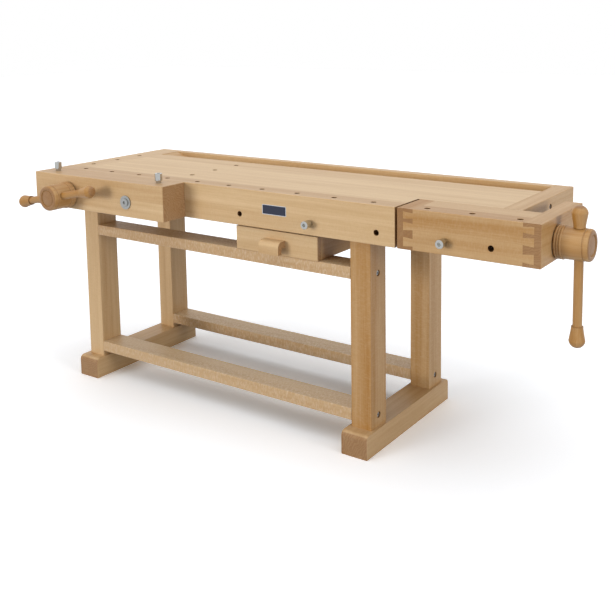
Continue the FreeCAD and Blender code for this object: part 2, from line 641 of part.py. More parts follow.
def knob(shoulder, along):
    """Turned knob: a collar, a widening belly and a blunt cone, bored for the bar."""
    step, belly = (KNOB_COLLAR, KNOB_SHOULDER_RADIUS), (KNOB_BELLY, KNOB_BELLY_RADIUS)
    profile = [[(0, KNOB_SHOULDER_RADIUS), step],
               [step, (KNOB_WAIST, KNOB_WAIST_RADIUS), belly],
               [belly, (KNOB_CONE, KNOB_CONE_RADIUS), (KNOB_LENGTH, KNOB_TIP_RADIUS)]]
    body = turned(profile, shoulder, along)
    return body.cut(rod(BAR_TENON_RADIUS, shoulder, shoulder + along * BAR_TENON))


def bar_pieces(centre, along):
    """Bar with a tenon at each end, and its two knobs."""
    half = along * (BAR_LENGTH / 2)
    body = rod(BAR_RADIUS, centre - half, centre + half)
    knobs = []
    for way in (-1, 1):
        shoulder = centre + half * way
        body = body.fuse(rod(BAR_TENON_RADIUS, shoulder, shoulder + along * (way * BAR_TENON)))
        knobs.append(knob(shoulder, along * way))
    return body.removeSplitter(), Part.makeCompound(knobs)


def hub_plate(centre, along):
    """Steel wear plate between a hub and the wood it turns against."""
    return ring(HUB_PLATE_RADIUS, SPINDLE_RADIUS + BAR_HOLE_GAP, centre, centre + along * HUB_PLATE_THICK)


def collar(face, along):
    """Ring pinned on the spindle behind the wood, which pulls the vise open."""
    start = face + along * COLLAR_GAP
    return ring(COLLAR_RADIUS, SPINDLE_RADIUS, start, start + along * COLLAR_THICK)


# ---- front vise ----------------------------------------------------------------
def front_jaw():
    """Long jaw with bores for the screw and the guide rod and two dog holes."""
    body = block(TOP_LEFT, JAW_RIGHT, JAW_FRONT, JAW_REAR, APRON_BOTTOM, TOP_HEIGHT)
    outer = [(("y", JAW_FRONT), ("z", TOP_HEIGHT)), (("y", JAW_FRONT), ("z", APRON_BOTTOM)),
             (("x", JAW_RIGHT), ("z", TOP_HEIGHT)), (("x", TOP_LEFT), ("z", TOP_HEIGHT)),
             (("x", JAW_RIGHT), ("y", JAW_FRONT)), (("x", TOP_LEFT), ("y", JAW_FRONT)),
             (("x", JAW_RIGHT), ("z", APRON_BOTTOM)), (("x", TOP_LEFT), ("z", APRON_BOTTOM))]
    body = eased(body, outer)
    body = drill_down(body, [(x, JAW_MIDDLE_Y) for x in jaw_dog_xs()], APRON_BOTTOM)
    front, rear = V(SCREW_X, JAW_FRONT, SCREW_Z), V(SCREW_X, JAW_REAR, SCREW_Z)
    body = body.cut(rod(SPINDLE_RADIUS + BAR_HOLE_GAP, front, rear))
    recess = COLLAR_THICK + 2 * COLLAR_GAP
    body = body.cut(rod(COLLAR_RADIUS + BAR_HOLE_GAP, rear - Y_AXIS * recess, rear))
    front, rear = V(ROD_X, JAW_FRONT, SCREW_Z), V(ROD_X, JAW_REAR, SCREW_Z)
    return body.cut(rod(GUIDE_RADIUS, front, rear))


def jaw_dog_xs():
    """Dog holes of the jaw, about in line with the cross rows."""
    return [TOP_LEFT + inset for inset in JAW_DOG_INSETS]


def front_guide_rod():
    """Steel rod let into the jaw and running through the apron."""
    start = V(ROD_X, JAW_FRONT + GUIDE_HEAD_SEAT, SCREW_Z)
    body = rod(GUIDE_RADIUS, start, V(ROD_X, APRON_FRONT + GUIDE_REACH, SCREW_Z))
    tip = body.BoundBox.YMax
    ends = [e for e in body.Edges if e.BoundBox.YMin > tip - TINY]
    body = body.makeChamfer(EDGE_EASE, ends)
    depth = GUIDE_BOLT_LENGTH - GUIDE_HEAD_SEAT
    return body.cut(rod(GUIDE_BOLT_RADIUS, start, start + Y_AXIS * depth))


def front_guide_washer():
    """Flat washer that covers the bore of the guide rod on the jaw face."""
    face = V(ROD_X, JAW_FRONT, SCREW_Z)
    return ring(WASHER_RADIUS, GUIDE_BOLT_RADIUS, face - Y_AXIS * WASHER_THICK, face)


def front_guide_bolt():
    """Hexagon-socket bolt through the washer into the rod."""
    seat = V(ROD_X, JAW_FRONT - WASHER_THICK, SCREW_Z)
    top = seat - Y_AXIS * GUIDE_BOLT_HEAD_HEIGHT
    head = rod(GUIDE_BOLT_HEAD_RADIUS, seat, top)
    head = head.makeChamfer(GUIDE_BOLT_CHAMFER, [e for e in head.Edges if e.BoundBox.YMax < top.y + TINY])
    stem = rod(GUIDE_BOLT_RADIUS, seat, V(ROD_X, JAW_FRONT + GUIDE_BOLT_LENGTH, SCREW_Z))
    corner = HEX_SOCKET / math.sqrt(3)
    points = [top + V(corner * math.cos(math.radians(60 * i)), 0, corner * math.sin(math.radians(60 * i)))
              for i in range(6)]
    socket = prism(points, Y_AXIS * HEX_DEPTH)
    return head.fuse(stem).removeSplitter().cut(socket)


def front_screw_nut():
    """Flanged nut let into the back of the apron."""
    rear = V(SCREW_X, APRON_REAR, SCREW_Z)
    barrel = rod(NUT_RADIUS, rear - Y_AXIS * FRONT_NUT_LENGTH, rear)
    plate = block(SCREW_X - NUT_PLATE_WIDTH / 2, SCREW_X + NUT_PLATE_WIDTH / 2, APRON_REAR,
                  APRON_REAR + NUT_PLATE_THICK, SCREW_Z - NUT_PLATE_DROP, SLAB_BOTTOM - NUT_PLATE_GAP)
    front = V(SCREW_X, APRON_FRONT, SCREW_Z)
    bore = rod(SPINDLE_RADIUS + RUNNING_GAP, front, rear + Y_AXIS * NUT_PLATE_THICK)
    return barrel.fuse(plate).removeSplitter().cut(bore)


def guide_bush(front, length, flange_side):
    """Flanged bush round the guide rod."""
    start = V(ROD_X, front, SCREW_Z)
    end = start + Y_AXIS * length
    outer = GUIDE_RADIUS + BUSH_WALL
    seat = end if flange_side > 0 else start
    body = rod(outer, start, end)
    body = body.fuse(rod(outer + BUSH_FLANGE, seat, seat + Y_AXIS * (flange_side * BUSH_FLANGE_THICK)))
    line = Y_AXIS * (length + 2 * BUSH_FLANGE_THICK)
    return body.removeSplitter().cut(rod(GUIDE_RADIUS + RUNNING_GAP, start - line, end + line))


def front_guide_bushes():
    """One bush in the apron and one in the block under the slab."""
    return Part.makeCompound([guide_bush(APRON_FRONT, APRON_THICK, 1),
                              guide_bush(BLOCK_FRONT, GUIDE_BLOCK_LENGTH, 1)])


def front_guide_block():
    """Wooden block under the slab that carries the rear bush."""
    half = GUIDE_BLOCK_WIDTH / 2
    body = block(ROD_X - half, ROD_X + half, BLOCK_FRONT, BLOCK_REAR,
                 SLAB_BOTTOM - GUIDE_BLOCK_DROP, SLAB_BOTTOM)
    front, rear = V(ROD_X, BLOCK_FRONT, SCREW_Z), V(ROD_X, BLOCK_REAR, SCREW_Z)
    return body.cut(rod(GUIDE_RADIUS + BUSH_WALL, front, rear))


def front_bar_line():
    """Direction of the bar through the front hub."""
    tilt = math.radians(FRONT_BAR_TILT)
    return V(math.cos(tilt), 0, math.sin(tilt))


def front_screw_pieces():
    """Spindle, hub, collar, bar and knobs of the front vise."""
    foot_point = V(SCREW_X, FRONT_HUB_FOOT, SCREW_Z)
    outward = Y_AXIS * -1
    end = V(SCREW_X, APRON_FRONT + FRONT_SPINDLE_REACH, SCREW_Z)
    spindle = rod(SPINDLE_RADIUS, foot_point + outward * SPINDLE_IN_HUB, end)
    line = front_bar_line()
    bar, knobs = bar_pieces(V(SCREW_X, FRONT_BAR_Y, SCREW_Z) + line * FRONT_BAR_OFFSET, line)
    recess = JAW_REAR - COLLAR_THICK - 2 * COLLAR_GAP
    return {"front_spindle": spindle,
            "front_hub": hub(foot_point, outward, line),
            "front_collar": collar(V(SCREW_X, recess, SCREW_Z), Y_AXIS),
            "front_bar": bar,
            "front_bar_knobs": knobs}


# ---- tail vise -----------------------------------------------------------------
def dovetail_rows(end_x, into):
    """Tails of the front board at one end; into points from the board to the end face."""
    base_x = end_x - into * TAIL_END_THICK
    tip_x = end_x - into * DOVETAIL_LAP
    tails = []
    for top, bottom in DOVETAILS:
        high, low = TOP_HEIGHT - top, TOP_HEIGHT - bottom
        outline = [V(base_x, APRON_FRONT, high - DOVETAIL_FLARE), V(tip_x, APRON_FRONT, high),
                   V(tip_x, APRON_FRONT, low), V(base_x, APRON_FRONT, low + DOVETAIL_FLARE)]
        tails.append(prism(outline, Y_AXIS * APRON_THICK))
    return tails


def tail_dog_xs():
    """Vertical dog holes of the tail vise."""
    return [TAIL_LEFT + TAIL_FIRST_DOG + DOG_PITCH * i for i in range(TAIL_DOG_COUNT)]


def tail_face_xs():
    """Horizontal dog holes of the tail vise, midway between the vertical ones."""
    xs = tail_dog_xs()
    return [(a + b) / 2 for a, b in zip(xs, xs[1:])]


def tail_drill(body):
    """Dog holes of the tail vise cut from one of its pieces."""
    body = drill_down(body, [(x, DOG_LINE_Y) for x in tail_dog_xs()], APRON_BOTTOM)
    for x in tail_face_xs():
        body = body.cut(rod(DOG_HOLE_RADIUS, V(x, APRON_FRONT, FACE_HOLE_Z), V(x, APRON_REAR, FACE_HOLE_Z)))
    return body


def tail_front_board():
    """Dog board of the tail vise, dovetailed into the jaw block and the end cap."""
    body = block(BLOCK_RIGHT, CAP_LEFT, APRON_FRONT, APRON_REAR, APRON_BOTTOM, TOP_HEIGHT)
    body = eased(body, [(("y", APRON_FRONT), ("z", TOP_HEIGHT)), (("y", APRON_FRONT), ("z", APRON_BOTTOM))])
    for tail in dovetail_rows(TAIL_LEFT, -1) + dovetail_rows(TAIL_RIGHT, 1):
        body = body.fuse(tail)
    return tail_drill(body.removeSplitter())


def tail_jaw_block():
    """Block that faces the bench jaw, with lapped dovetail sockets."""
    body = block(TAIL_LEFT, BLOCK_RIGHT, APRON_FRONT, TAIL_REAR, APRON_BOTTOM, TOP_HEIGHT)
    body = eased(body, [(("x", TAIL_LEFT), ("y", APRON_FRONT)), (("x", TAIL_LEFT), ("z", TOP_HEIGHT))])
    for tail in dovetail_rows(TAIL_LEFT, -1):
        body = body.cut(tail)
    return tail_drill(body)


def tail_end_cap():
    """Long end cap with dovetail sockets, the screw bore and the mortise of the guide bar."""
    body = block(CAP_LEFT, TAIL_RIGHT, APRON_FRONT, APRON_FRONT + TAIL_REACH, APRON_BOTTOM, TOP_HEIGHT)
    far = APRON_FRONT + TAIL_REACH
    body = eased(body, [(("x", TAIL_RIGHT), ("y", APRON_FRONT)), (("x", TAIL_RIGHT), ("z", TOP_HEIGHT)),
                        (("x", TAIL_RIGHT), ("z", APRON_BOTTOM)), (("x", TAIL_RIGHT), ("y", far)),
                        (("x", CAP_LEFT), ("y", far))])
    for tail in dovetail_rows(TAIL_RIGHT, 1):
        body = body.cut(tail)
    left, right = V(CAP_LEFT, TAIL_AXIS_Y, SCREW_Z), V(TAIL_RIGHT, TAIL_AXIS_Y, SCREW_Z)
    body = tail_drill(body.cut(rod(SPINDLE_RADIUS + BAR_HOLE_GAP, left, right)))
    return body.cut(guide_bar_box(0, CAP_LEFT, CAP_LEFT + BAR_GUIDE_TENON))


def guide_bar_box(clear, left, right):
    """Section of the guide bar, opened by a clearance on every side."""
    half = BAR_GUIDE_WIDTH / 2 + clear
    return block(left, right, GUIDE_BAR_Y - half, GUIDE_BAR_Y + half, GUIDE_BAR_BOTTOM - clear,
                 GUIDE_BAR_TOP + clear)


def tail_guide_bar():
    """Bar from the end cap under the slab, which keeps the vise square."""
    left = CAP_LEFT - BAR_GUIDE_LENGTH
    body = guide_bar_box(0, left, CAP_LEFT + BAR_GUIDE_TENON)
    return eased(body, [(("x", left), ("z", GUIDE_BAR_BOTTOM))])


def tail_guide_hangers():
    """Two blocks under the slab in which the guide bar slides."""
    solids = []
    half = BAR_GUIDE_WIDTH / 2 + SLIDE_GAP + GUIDE_HANGER_WALL
    for inset in GUIDE_HANGER_INSETS:
        right = SLAB_RIGHT - inset
        left = right - GUIDE_HANGER_LENGTH
        body = block(left, right, GUIDE_BAR_Y - half, GUIDE_BAR_Y + half,
                     GUIDE_BAR_BOTTOM - SLIDE_GAP - GUIDE_HANGER_FLOOR, SLAB_BOTTOM)
        solids.append(body.cut(guide_bar_box(SLIDE_GAP, left, right)))
    return Part.makeCompound(solids)


def tail_top_cover():
    """Board that closes the top of the vise over its screw."""
    body = block(BLOCK_RIGHT, CAP_LEFT, APRON_REAR, TAIL_REAR, TOP_HEIGHT - TAIL_COVER_THICK, TOP_HEIGHT)
    return tail_drill(body)


def tail_guide_strip():
    """Strip between jaw block and end cap whose tongue runs in the beam."""
    strip = block(BLOCK_RIGHT, CAP_LEFT, TAIL_REAR - GUIDE_STRIP_WIDTH, TAIL_REAR, APRON_BOTTOM,
                  APRON_BOTTOM + GUIDE_STRIP_HEIGHT)
    tongue = block(BLOCK_RIGHT, SLAB_RIGHT, TAIL_REAR, TAIL_REAR + TONGUE_LENGTH, TONGUE_BOTTOM,
                   TONGUE_BOTTOM + TONGUE_HEIGHT)
    return strip.fuse(tongue).removeSplitter()


def tail_guide_beam():
    """Fixed beam under the edge of the slab, grooved for the tongue."""
    body = block(APRON_RIGHT, SLAB_RIGHT, NOTCH_Y, NOTCH_Y + BEAM_WIDTH, APRON_BOTTOM, SLAB_BOTTOM)
    groove = block(APRON_RIGHT, SLAB_RIGHT, NOTCH_Y, TAIL_REAR + TONGUE_LENGTH + SLIDE_GAP,
                   TONGUE_BOTTOM - SLIDE_GAP, TONGUE_BOTTOM + TONGUE_HEIGHT + SLIDE_GAP)
    return body.cut(groove)


def bench_jaw_block():
    """Block under the slab behind the end of the apron, the fixed jaw of the tail vise."""
    return block(APRON_RIGHT - TAIL_END_THICK, APRON_RIGHT, APRON_REAR, NOTCH_Y, APRON_BOTTOM, SLAB_BOTTOM)


def tail_screw_nut():
    """Nut block screwed to the front of the guide beam."""
    right = SLAB_RIGHT - TAIL_NUT_FROM_CAP
    left = right - TAIL_NUT_LENGTH
    half = TAIL_NUT_HEIGHT / 2
    body = block(left, right, TAIL_AXIS_Y - half, NOTCH_Y, SCREW_Z - half, SCREW_Z + half)
    front = ("y", TAIL_AXIS_Y - half)
    body = eased(body, [(front, ("z", SCREW_Z + half)), (front, ("z", SCREW_Z - half))], TAIL_NUT_CHAMFER)
    start, end = V(left, TAIL_AXIS_Y, SCREW_Z), V(right, TAIL_AXIS_Y, SCREW_Z)
    return body.cut(rod(SPINDLE_RADIUS + RUNNING_GAP, start, end))


def tail_screw_pieces():
    """Spindle, hub, collar, bar and knobs of the tail vise."""
    foot_point = V(TAIL_HUB_FOOT, TAIL_AXIS_Y, SCREW_Z)
    spindle = rod(SPINDLE_RADIUS, V(TAIL_HUB_FOOT - TAIL_SPINDLE_LENGTH, TAIL_AXIS_Y, SCREW_Z),
                  foot_point + X_AXIS * SPINDLE_IN_HUB)
    hang = HUB_RADIUS + BAR_REST_GAP - BAR_LENGTH / 2
    bar, knobs = bar_pieces(V(TAIL_BAR_X, TAIL_AXIS_Y, SCREW_Z + hang), Z_AXIS)
    return {"tail_spindle": spindle,
            "tail_hub": hub(foot_point, X_AXIS, Z_AXIS),
            "tail_collar": collar(V(CAP_LEFT, TAIL_AXIS_Y, SCREW_Z), X_AXIS * -1),
            "tail_bar": bar,
            "tail_bar_knobs": knobs}


# ---- drawer --------------------------------------------------------------------
def drawer_front():
    """Front board with a groove for the bottom."""
    body = block(DRAWER_LEFT, DRAWER_RIGHT, DRAWER_FACE, BOX_FRONT, DRAWER_BOTTOM, DRAWER_TOP)
    body = eased(body, [(("y", DRAWER_FACE), ("z", DRAWER_TOP)), (("y", DRAWER_FACE), ("z", DRAWER_BOTTOM)),
                        (("x", DRAWER_LEFT), ("y", DRAWER_FACE)), (("x", DRAWER_RIGHT), ("y", DRAWER_FACE))])
    return body.cut(drawer_bottom())


def drawer_side(side):
    """Side board with the slip that rides on a hanging rail."""
    outer = DRAWER_RIGHT if side > 0 else DRAWER_LEFT
    inner = outer - side * DRAWER_SIDE_THICK
    edge = outer + side * SLIP_WIDTH
    body = block(min(outer, inner), max(outer, inner), BOX_FRONT, DRAWER_BACK, DRAWER_BOTTOM, DRAWER_TOP)
    slip = block(min(outer, edge), max(outer, edge), DRAWER_RAIL_FRONT, DRAWER_BACK, SLIP_BOTTOM, SLIP_TOP)
    return body.fuse(slip).removeSplitter().cut(drawer_bottom())


def drawer_back():
    """Back board between the sides, above the bottom."""
    low = PANEL_BOTTOM + DRAWER_BOTTOM_THICK
    return block(DRAWER_LEFT + DRAWER_SIDE_THICK, DRAWER_RIGHT - DRAWER_SIDE_THICK,
                 DRAWER_BACK - DRAWER_BACK_THICK, DRAWER_BACK, low, DRAWER_TOP)


def drawer_bottom():
    """Bottom panel let into the front and the sides."""
    reach = DRAWER_SIDE_THICK - DRAWER_GROOVE
    return block(DRAWER_LEFT + reach, DRAWER_RIGHT - reach, BOX_FRONT - DRAWER_GROOVE, DRAWER_BACK,
                 PANEL_BOTTOM, PANEL_BOTTOM + DRAWER_BOTTOM_THICK)


def rounded_brow(body, front, low, radius):
    """A block with the upper edge of its front face rounded."""
    brow = [e for e in body.Edges if e.BoundBox.YMax < front + TINY and e.BoundBox.ZMin > low + TINY]
    return body.makeFillet(radius, brow)


def drawer_pull():
    """Wooden pull with a rounded brow and a finger hollow open below, against the drawer front."""
    centre = (DRAWER_LEFT + DRAWER_RIGHT) / 2 + PULL_OFFSET
    left, right = centre - PULL_WIDTH / 2, centre + PULL_WIDTH / 2
    low = DRAWER_BOTTOM + PULL_RISE
    front = DRAWER_FACE - PULL_DEPTH
    body = rounded_brow(block(left, right, front, DRAWER_FACE, low, low + PULL_HEIGHT), front, low, PULL_ROUND)
    near = front + PULL_LIP
    hollow = block(left, right, near, DRAWER_FACE, low, low + PULL_HOLLOW_HEIGHT)
    return body.cut(rounded_brow(hollow, near, low, PULL_HOLLOW_ROUND))


def drawer_rails():
    """Two rails under the slab, each grooved for one slip of the drawer."""
    solids = []
    for side, outer in ((-1, DRAWER_LEFT), (1, DRAWER_RIGHT)):
        near = outer + side * RAIL_GAP
        groove = outer + side * (SLIP_WIDTH + RAIL_GAP)
        far = groove + side * RAIL_WEB
        body = block(min(near, far), max(near, far), DRAWER_RAIL_FRONT, DRAWER_BACK,
                     SLIP_BOTTOM - SLIDE_GAP - RAIL_FOOT_HEIGHT, SLAB_BOTTOM)
        body = body.cut(block(min(near, groove), max(near, groove), DRAWER_RAIL_FRONT, DRAWER_BACK,
                              SLIP_BOTTOM - SLIDE_GAP, SLIP_TOP + SLIDE_GAP))
        solids.append(body)
    return Part.makeCompound(solids)


# ---- round dogs ----------------------------------------------------------------
def round_dog(mouth, out):
    """Steel dog: shank with a spring groove, neck, and a round head with a hollow."""
    groove = -DOG_SHANK_LENGTH / 2
    low = DOG_SHANK_RADIUS - DOG_GROOVE_DEPTH
    head = DOG_RAISED + DOG_HEAD_HEIGHT
    stops = [(-DOG_SHANK_LENGTH, DOG_SHANK_RADIUS - DOG_CHAMFER),
             (-DOG_SHANK_LENGTH + DOG_CHAMFER, DOG_SHANK_RADIUS), (groove, DOG_SHANK_RADIUS), (groove, low),
             (groove + DOG_GROOVE_WIDTH, low), (groove + DOG_GROOVE_WIDTH, DOG_SHANK_RADIUS),
             (DOG_RAISED, DOG_SHANK_RADIUS), (DOG_RAISED, DOG_HEAD_RADIUS - DOG_CHAMFER),
             (DOG_RAISED + DOG_CHAMFER, DOG_HEAD_RADIUS), (head - DOG_CHAMFER, DOG_HEAD_RADIUS),
             (head, DOG_HEAD_RADIUS - DOG_CHAMFER), (head, DOG_SOCKET_RADIUS),
             (head - DOG_SOCKET_DEPTH, DOG_SOCKET_RADIUS)]
    return turned([list(pair) for pair in zip(stops, stops[1:])], mouth, out)


def dogs():
    """Two dogs in the jaw, one in the apron face and one in the face of the tail vise."""
    left, right = jaw_dog_xs()
    forward = Y_AXIS * -1
    return {"jaw_dog_left": round_dog(V(left, JAW_MIDDLE_Y, TOP_HEIGHT), Z_AXIS),
            "jaw_dog_right": round_dog(V(right, JAW_MIDDLE_Y, TOP_HEIGHT), Z_AXIS),
            "apron_dog": round_dog(V(face_hole_xs()[1], APRON_FRONT, FACE_HOLE_Z), forward),
            "tail_dog": round_dog(V(tail_face_xs()[0], APRON_FRONT, FACE_HOLE_Z), forward)}


def all_parts():
    """Every piece of the bench by name."""
    parts = {
        "foot_left": foot(-1), "foot_right": foot(1),
        "leg_front_left": leg(-1, -LEG_Y), "leg_front_right": leg(1, -LEG_Y),
        "leg_rear_left": leg(-1, LEG_Y), "leg_rear_right": leg(1, LEG_Y),
        "stretcher_lower_front": stretcher(-LEG_Y, LOWER_STRETCHER_Z),
        "stretcher_lower_rear": stretcher(LEG_Y, LOWER_STRETCHER_Z),
        "stretcher_upper_front": stretcher(-LEG_Y, UPPER_STRETCHER_Z),
        "stretcher_bolts": stretcher_bolts(),
        "bearer_left": bearer(-1), "bearer_right": bearer(1),
        "front_apron": front_apron(), "worktop_slab": worktop_slab(),
        "left_end_cap": left_end_cap(), "right_end_cap": right_end_cap(), "cap_bolts": cap_bolts(),
        "back_rail": back_rail(), "tray_floor": tray_panel(), "tray_ramp": tray_ramp(),
        "front_jaw": front_jaw(), "front_guide_rod": front_guide_rod(),
        "front_guide_washer": front_guide_washer(), "front_guide_bolt": front_guide_bolt(),
        "front_hub_plate": hub_plate(V(SCREW_X, JAW_FRONT, SCREW_Z), Y_AXIS * -1),
        "front_screw_nut": front_screw_nut(), "front_guide_bushes": front_guide_bushes(),
        "front_guide_block": front_guide_block(),
        "tail_front_board": tail_front_board(), "tail_jaw_block": tail_jaw_block(),
        "tail_end_cap": tail_end_cap(), "tail_top_cover": tail_top_cover(),
        "tail_guide_strip": tail_guide_strip(), "tail_guide_bar": tail_guide_bar(),
        "tail_hub_plate": hub_plate(V(TAIL_RIGHT, TAIL_AXIS_Y, SCREW_Z), X_AXIS),
        "tail_guide_beam": tail_guide_beam(), "tail_guide_hangers": tail_guide_hangers(),
        "bench_jaw_block": bench_jaw_block(), "tail_screw_nut": tail_screw_nut(),
        "drawer_front": drawer_front(), "drawer_side_left": drawer_side(-1),
        "drawer_side_right": drawer_side(1), "drawer_back": drawer_back(),
        "drawer_bottom": drawer_bottom(), "drawer_pull": drawer_pull(), "drawer_rails": drawer_rails(),
    }
    parts.update(front_screw_pieces())
    parts.update(tail_screw_pieces())
    parts.update(dogs())
    return parts


def to_floor_middle(parts):
    """Move that brings the floor point under the middle of the whole bench to the origin."""
    box = Part.makeCompound(list(parts.values())).optimalBoundingBox()
    return V(-(box.XMin + box.XMax) / 2, -(box.YMin + box.YMax) / 2, 0)


def main():
    """Writes one STEP file for each piece."""
    os.makedirs("parts", exist_ok=True)
    parts = all_parts()
    move = to_floor_middle(parts)
    for name, shape in parts.items():
        if not shape.isValid():
            raise ValueError("bad solid: " + name)
        shape.translate(move)
        shape.exportStep(os.path.join("parts", name + ".step"))
        print(name, len(shape.Solids), round(shape.Volume / 1000.0, 1), "cm3")


main()
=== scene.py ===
"""Dresses the workbench in beech, steel and nylon, adds its small parts, and sets the stage."""
import json
import math

import bmesh
import bpy
from mathutils import Matrix, Vector


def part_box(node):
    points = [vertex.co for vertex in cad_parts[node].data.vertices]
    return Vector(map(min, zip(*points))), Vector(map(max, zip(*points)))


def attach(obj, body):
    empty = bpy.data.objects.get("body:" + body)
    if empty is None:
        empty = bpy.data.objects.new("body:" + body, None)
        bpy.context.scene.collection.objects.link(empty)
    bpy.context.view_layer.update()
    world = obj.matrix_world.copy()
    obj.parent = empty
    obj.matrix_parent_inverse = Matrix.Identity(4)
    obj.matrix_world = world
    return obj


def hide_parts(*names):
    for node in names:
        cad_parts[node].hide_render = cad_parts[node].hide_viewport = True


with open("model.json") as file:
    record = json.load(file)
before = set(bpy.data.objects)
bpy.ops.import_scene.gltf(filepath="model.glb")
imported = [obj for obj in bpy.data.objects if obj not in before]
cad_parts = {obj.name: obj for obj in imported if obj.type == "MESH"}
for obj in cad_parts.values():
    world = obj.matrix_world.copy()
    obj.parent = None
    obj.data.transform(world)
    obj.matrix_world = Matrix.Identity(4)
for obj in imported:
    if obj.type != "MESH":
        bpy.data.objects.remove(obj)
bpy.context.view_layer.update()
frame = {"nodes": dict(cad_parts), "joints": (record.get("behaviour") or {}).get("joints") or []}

bl_info = {
    "name": "Workbench Dresser",
    "version": (1, 0, 0),
    "blender": (4, 5, 0),
    "location": "3D View > Sidebar > Workbench",
    "description": "Wood, metal and small parts for a joiner's bench with two vises",
    "category": "Object",
}

MM = 0.001
PER_METRE = 1000
ORIGIN = Vector((0, 0, 0))
UP = Vector((0, 0, 1))
ALONG = Vector((1, 0, 0))
BACK = Vector((0, 1, 0))
MERGE = 1e-6
SMOOTH_ANGLE = math.radians(32)

# Turns that bring a board's grain onto the X axis of its pattern. The bar of the front vise lies
# 11 degrees off level.
GRAIN_TURN = {
    "X": (0.0, 0.0, 0.0),
    "Y": (0.0, 0.0, -math.pi / 2),
    "Z": (0.0, math.pi / 2, 0.0),
    "bar": (0.0, math.radians(11.0), 0.0),
}

# Node, grain, the axis across which its staves are glued ("Y" or "Z" after the turn, "" for one
# board), stave width in millimetres, depth of colour, where 0 is the pale tone and 1 the deep one,
# and how strongly the pale rays of a quarter-sawn face show.
BOARDS = [
    ("foot_left", "Y", "", 0, 0.5, 0.05), ("foot_right", "Y", "", 0, 0.5, 0.05),
    ("leg_front_left", "Z", "Z", 39, 0.33, 0.1), ("leg_front_right", "Z", "Z", 39, 0.95, 0.1),
    ("leg_rear_left", "Z", "Z", 39, 0.5, 0.1), ("leg_rear_right", "Z", "Z", 39, 0.8, 0.15),
    ("stretcher_lower_front", "X", "Y", 50, 0.0, 1.0),
    ("stretcher_lower_rear", "X", "Y", 50, 0.3, 1.0),
    ("stretcher_upper_front", "X", "Y", 50, 0.3, 1.0),
    ("bearer_left", "Y", "", 0, 0.5, 0.1), ("bearer_right", "Y", "", 0, 0.5, 0.1),
    ("front_apron", "X", "Z", 66, 0.33, 0.1), ("worktop_slab", "X", "Y", 82, 0.22, 0.1),
    ("left_end_cap", "Y", "Y", 60, 0.35, 0.1), ("right_end_cap", "Y", "", 0, 0.7, 0.1),
    ("back_rail", "X", "", 0, 0.6, 0.1), ("tray_ramp", "Y", "", 0, 0.6, 0.1),
    ("front_jaw", "X", "Z", 66, 0.42, 0.1), ("front_guide_block", "X", "", 0, 0.5, 0.1),
    ("tail_front_board", "X", "Z", 66, 0.78, 0.1), ("tail_jaw_block", "Y", "", 0, 1.0, 0.1),
    ("tail_end_cap", "Y", "", 0, 0.7, 0.1), ("tail_top_cover", "X", "", 0, 0.35, 0.1),
    ("tail_guide_strip", "X", "", 0, 0.5, 0.1), ("tail_guide_bar", "X", "", 0, 0.55, 0.1),
    ("tail_guide_beam", "X", "", 0, 0.55, 0.1), ("tail_guide_hangers", "Y", "", 0, 0.6, 0.1),
    ("bench_jaw_block", "Y", "", 0, 0.55, 0.1), ("drawer_front", "X", "", 0, 0.35, 0.1),
    # The drawer's sides carry a deeper tone, partly their own and partly painted shade for the
    # shade under the top.
    ("drawer_side_left", "Y", "", 0, 0.8, 0.1), ("drawer_side_right", "Y", "", 0, 0.8, 0.1),
    ("drawer_back", "X", "", 0, 0.4, 0.1), ("drawer_pull", "X", "", 0, 0.45, 0.1),
    # The rails' tone, deeper than the deep beech, is painted shade for the shade under the top.
    ("drawer_rails", "Y", "", 0, 1.3, 0.1),
    ("front_bar", "bar", "", 0, 1.0, 0.0), ("front_bar_knobs", "bar", "", 0, 1.0, 0.0),
    ("tail_bar", "Z", "", 0, 1.0, 0.0), ("tail_bar_knobs", "Z", "", 0, 1.0, 0.0),
]

# Depth of colour of the hubs, and the seeds from which each piece draws its own figure.
HUB_DEPTH = 0.95
SEED_STEP, HUB_SEED = 7.3, 41.7

# Boards whose faces lie on their box and whose holes are seen. The walls of these holes get a
# painted shade.
HOLE_SHADED_BOARDS = ("front_apron", "worktop_slab", "left_end_cap", "front_jaw", "tail_front_board",
         "tail_top_cover")

# Patterns of beech: size in millimetres along and across the grain, detail and roughness.
BEECH_PATTERNS = {
    "streak": ((1100, 42, 42), 2, 0.55),
    "band": ((380, 13, 13), 2, 0.55),
    "fibre": ((70, 2.2, 2.2), 4, 0.7),
    "dash": ((4.5, 0.8, 0.8), 1, 0.55),
    "ray": ((5, 15, 15), 2, 0.7),
}

# Millimetres: how far one stave's figure may lie from the next one's, the pitch of the arcs in the
# end grain and how far they wander, the width of a glue line, and how far inside a board's box the
# painted shade on the wall of a hole begins.
STAVE_SHIFT = (900, 400, 400)
RING_PITCH = 9.0
RING_WANDER = 60.0
GLUE_LINE = 0.5
BORE_DEPTH = 0.8

# Parts of plywood, and parts of metal and nylon by finish.
PLYWOOD_PARTS = ("tray_floor", "drawer_bottom")
METAL_PARTS = {
    "polished_steel": ("jaw_dog_left", "jaw_dog_right", "apron_dog", "tail_dog",
                       "front_guide_rod"),
    "zinc_plated_steel": ("front_guide_washer", "front_guide_bolt", "front_hub_plate",
                          "tail_hub_plate", "front_collar", "tail_collar"),
    "painted_cast_iron": ("front_screw_nut", "tail_screw_nut"),
    "black_nylon": ("front_guide_bushes",),
}

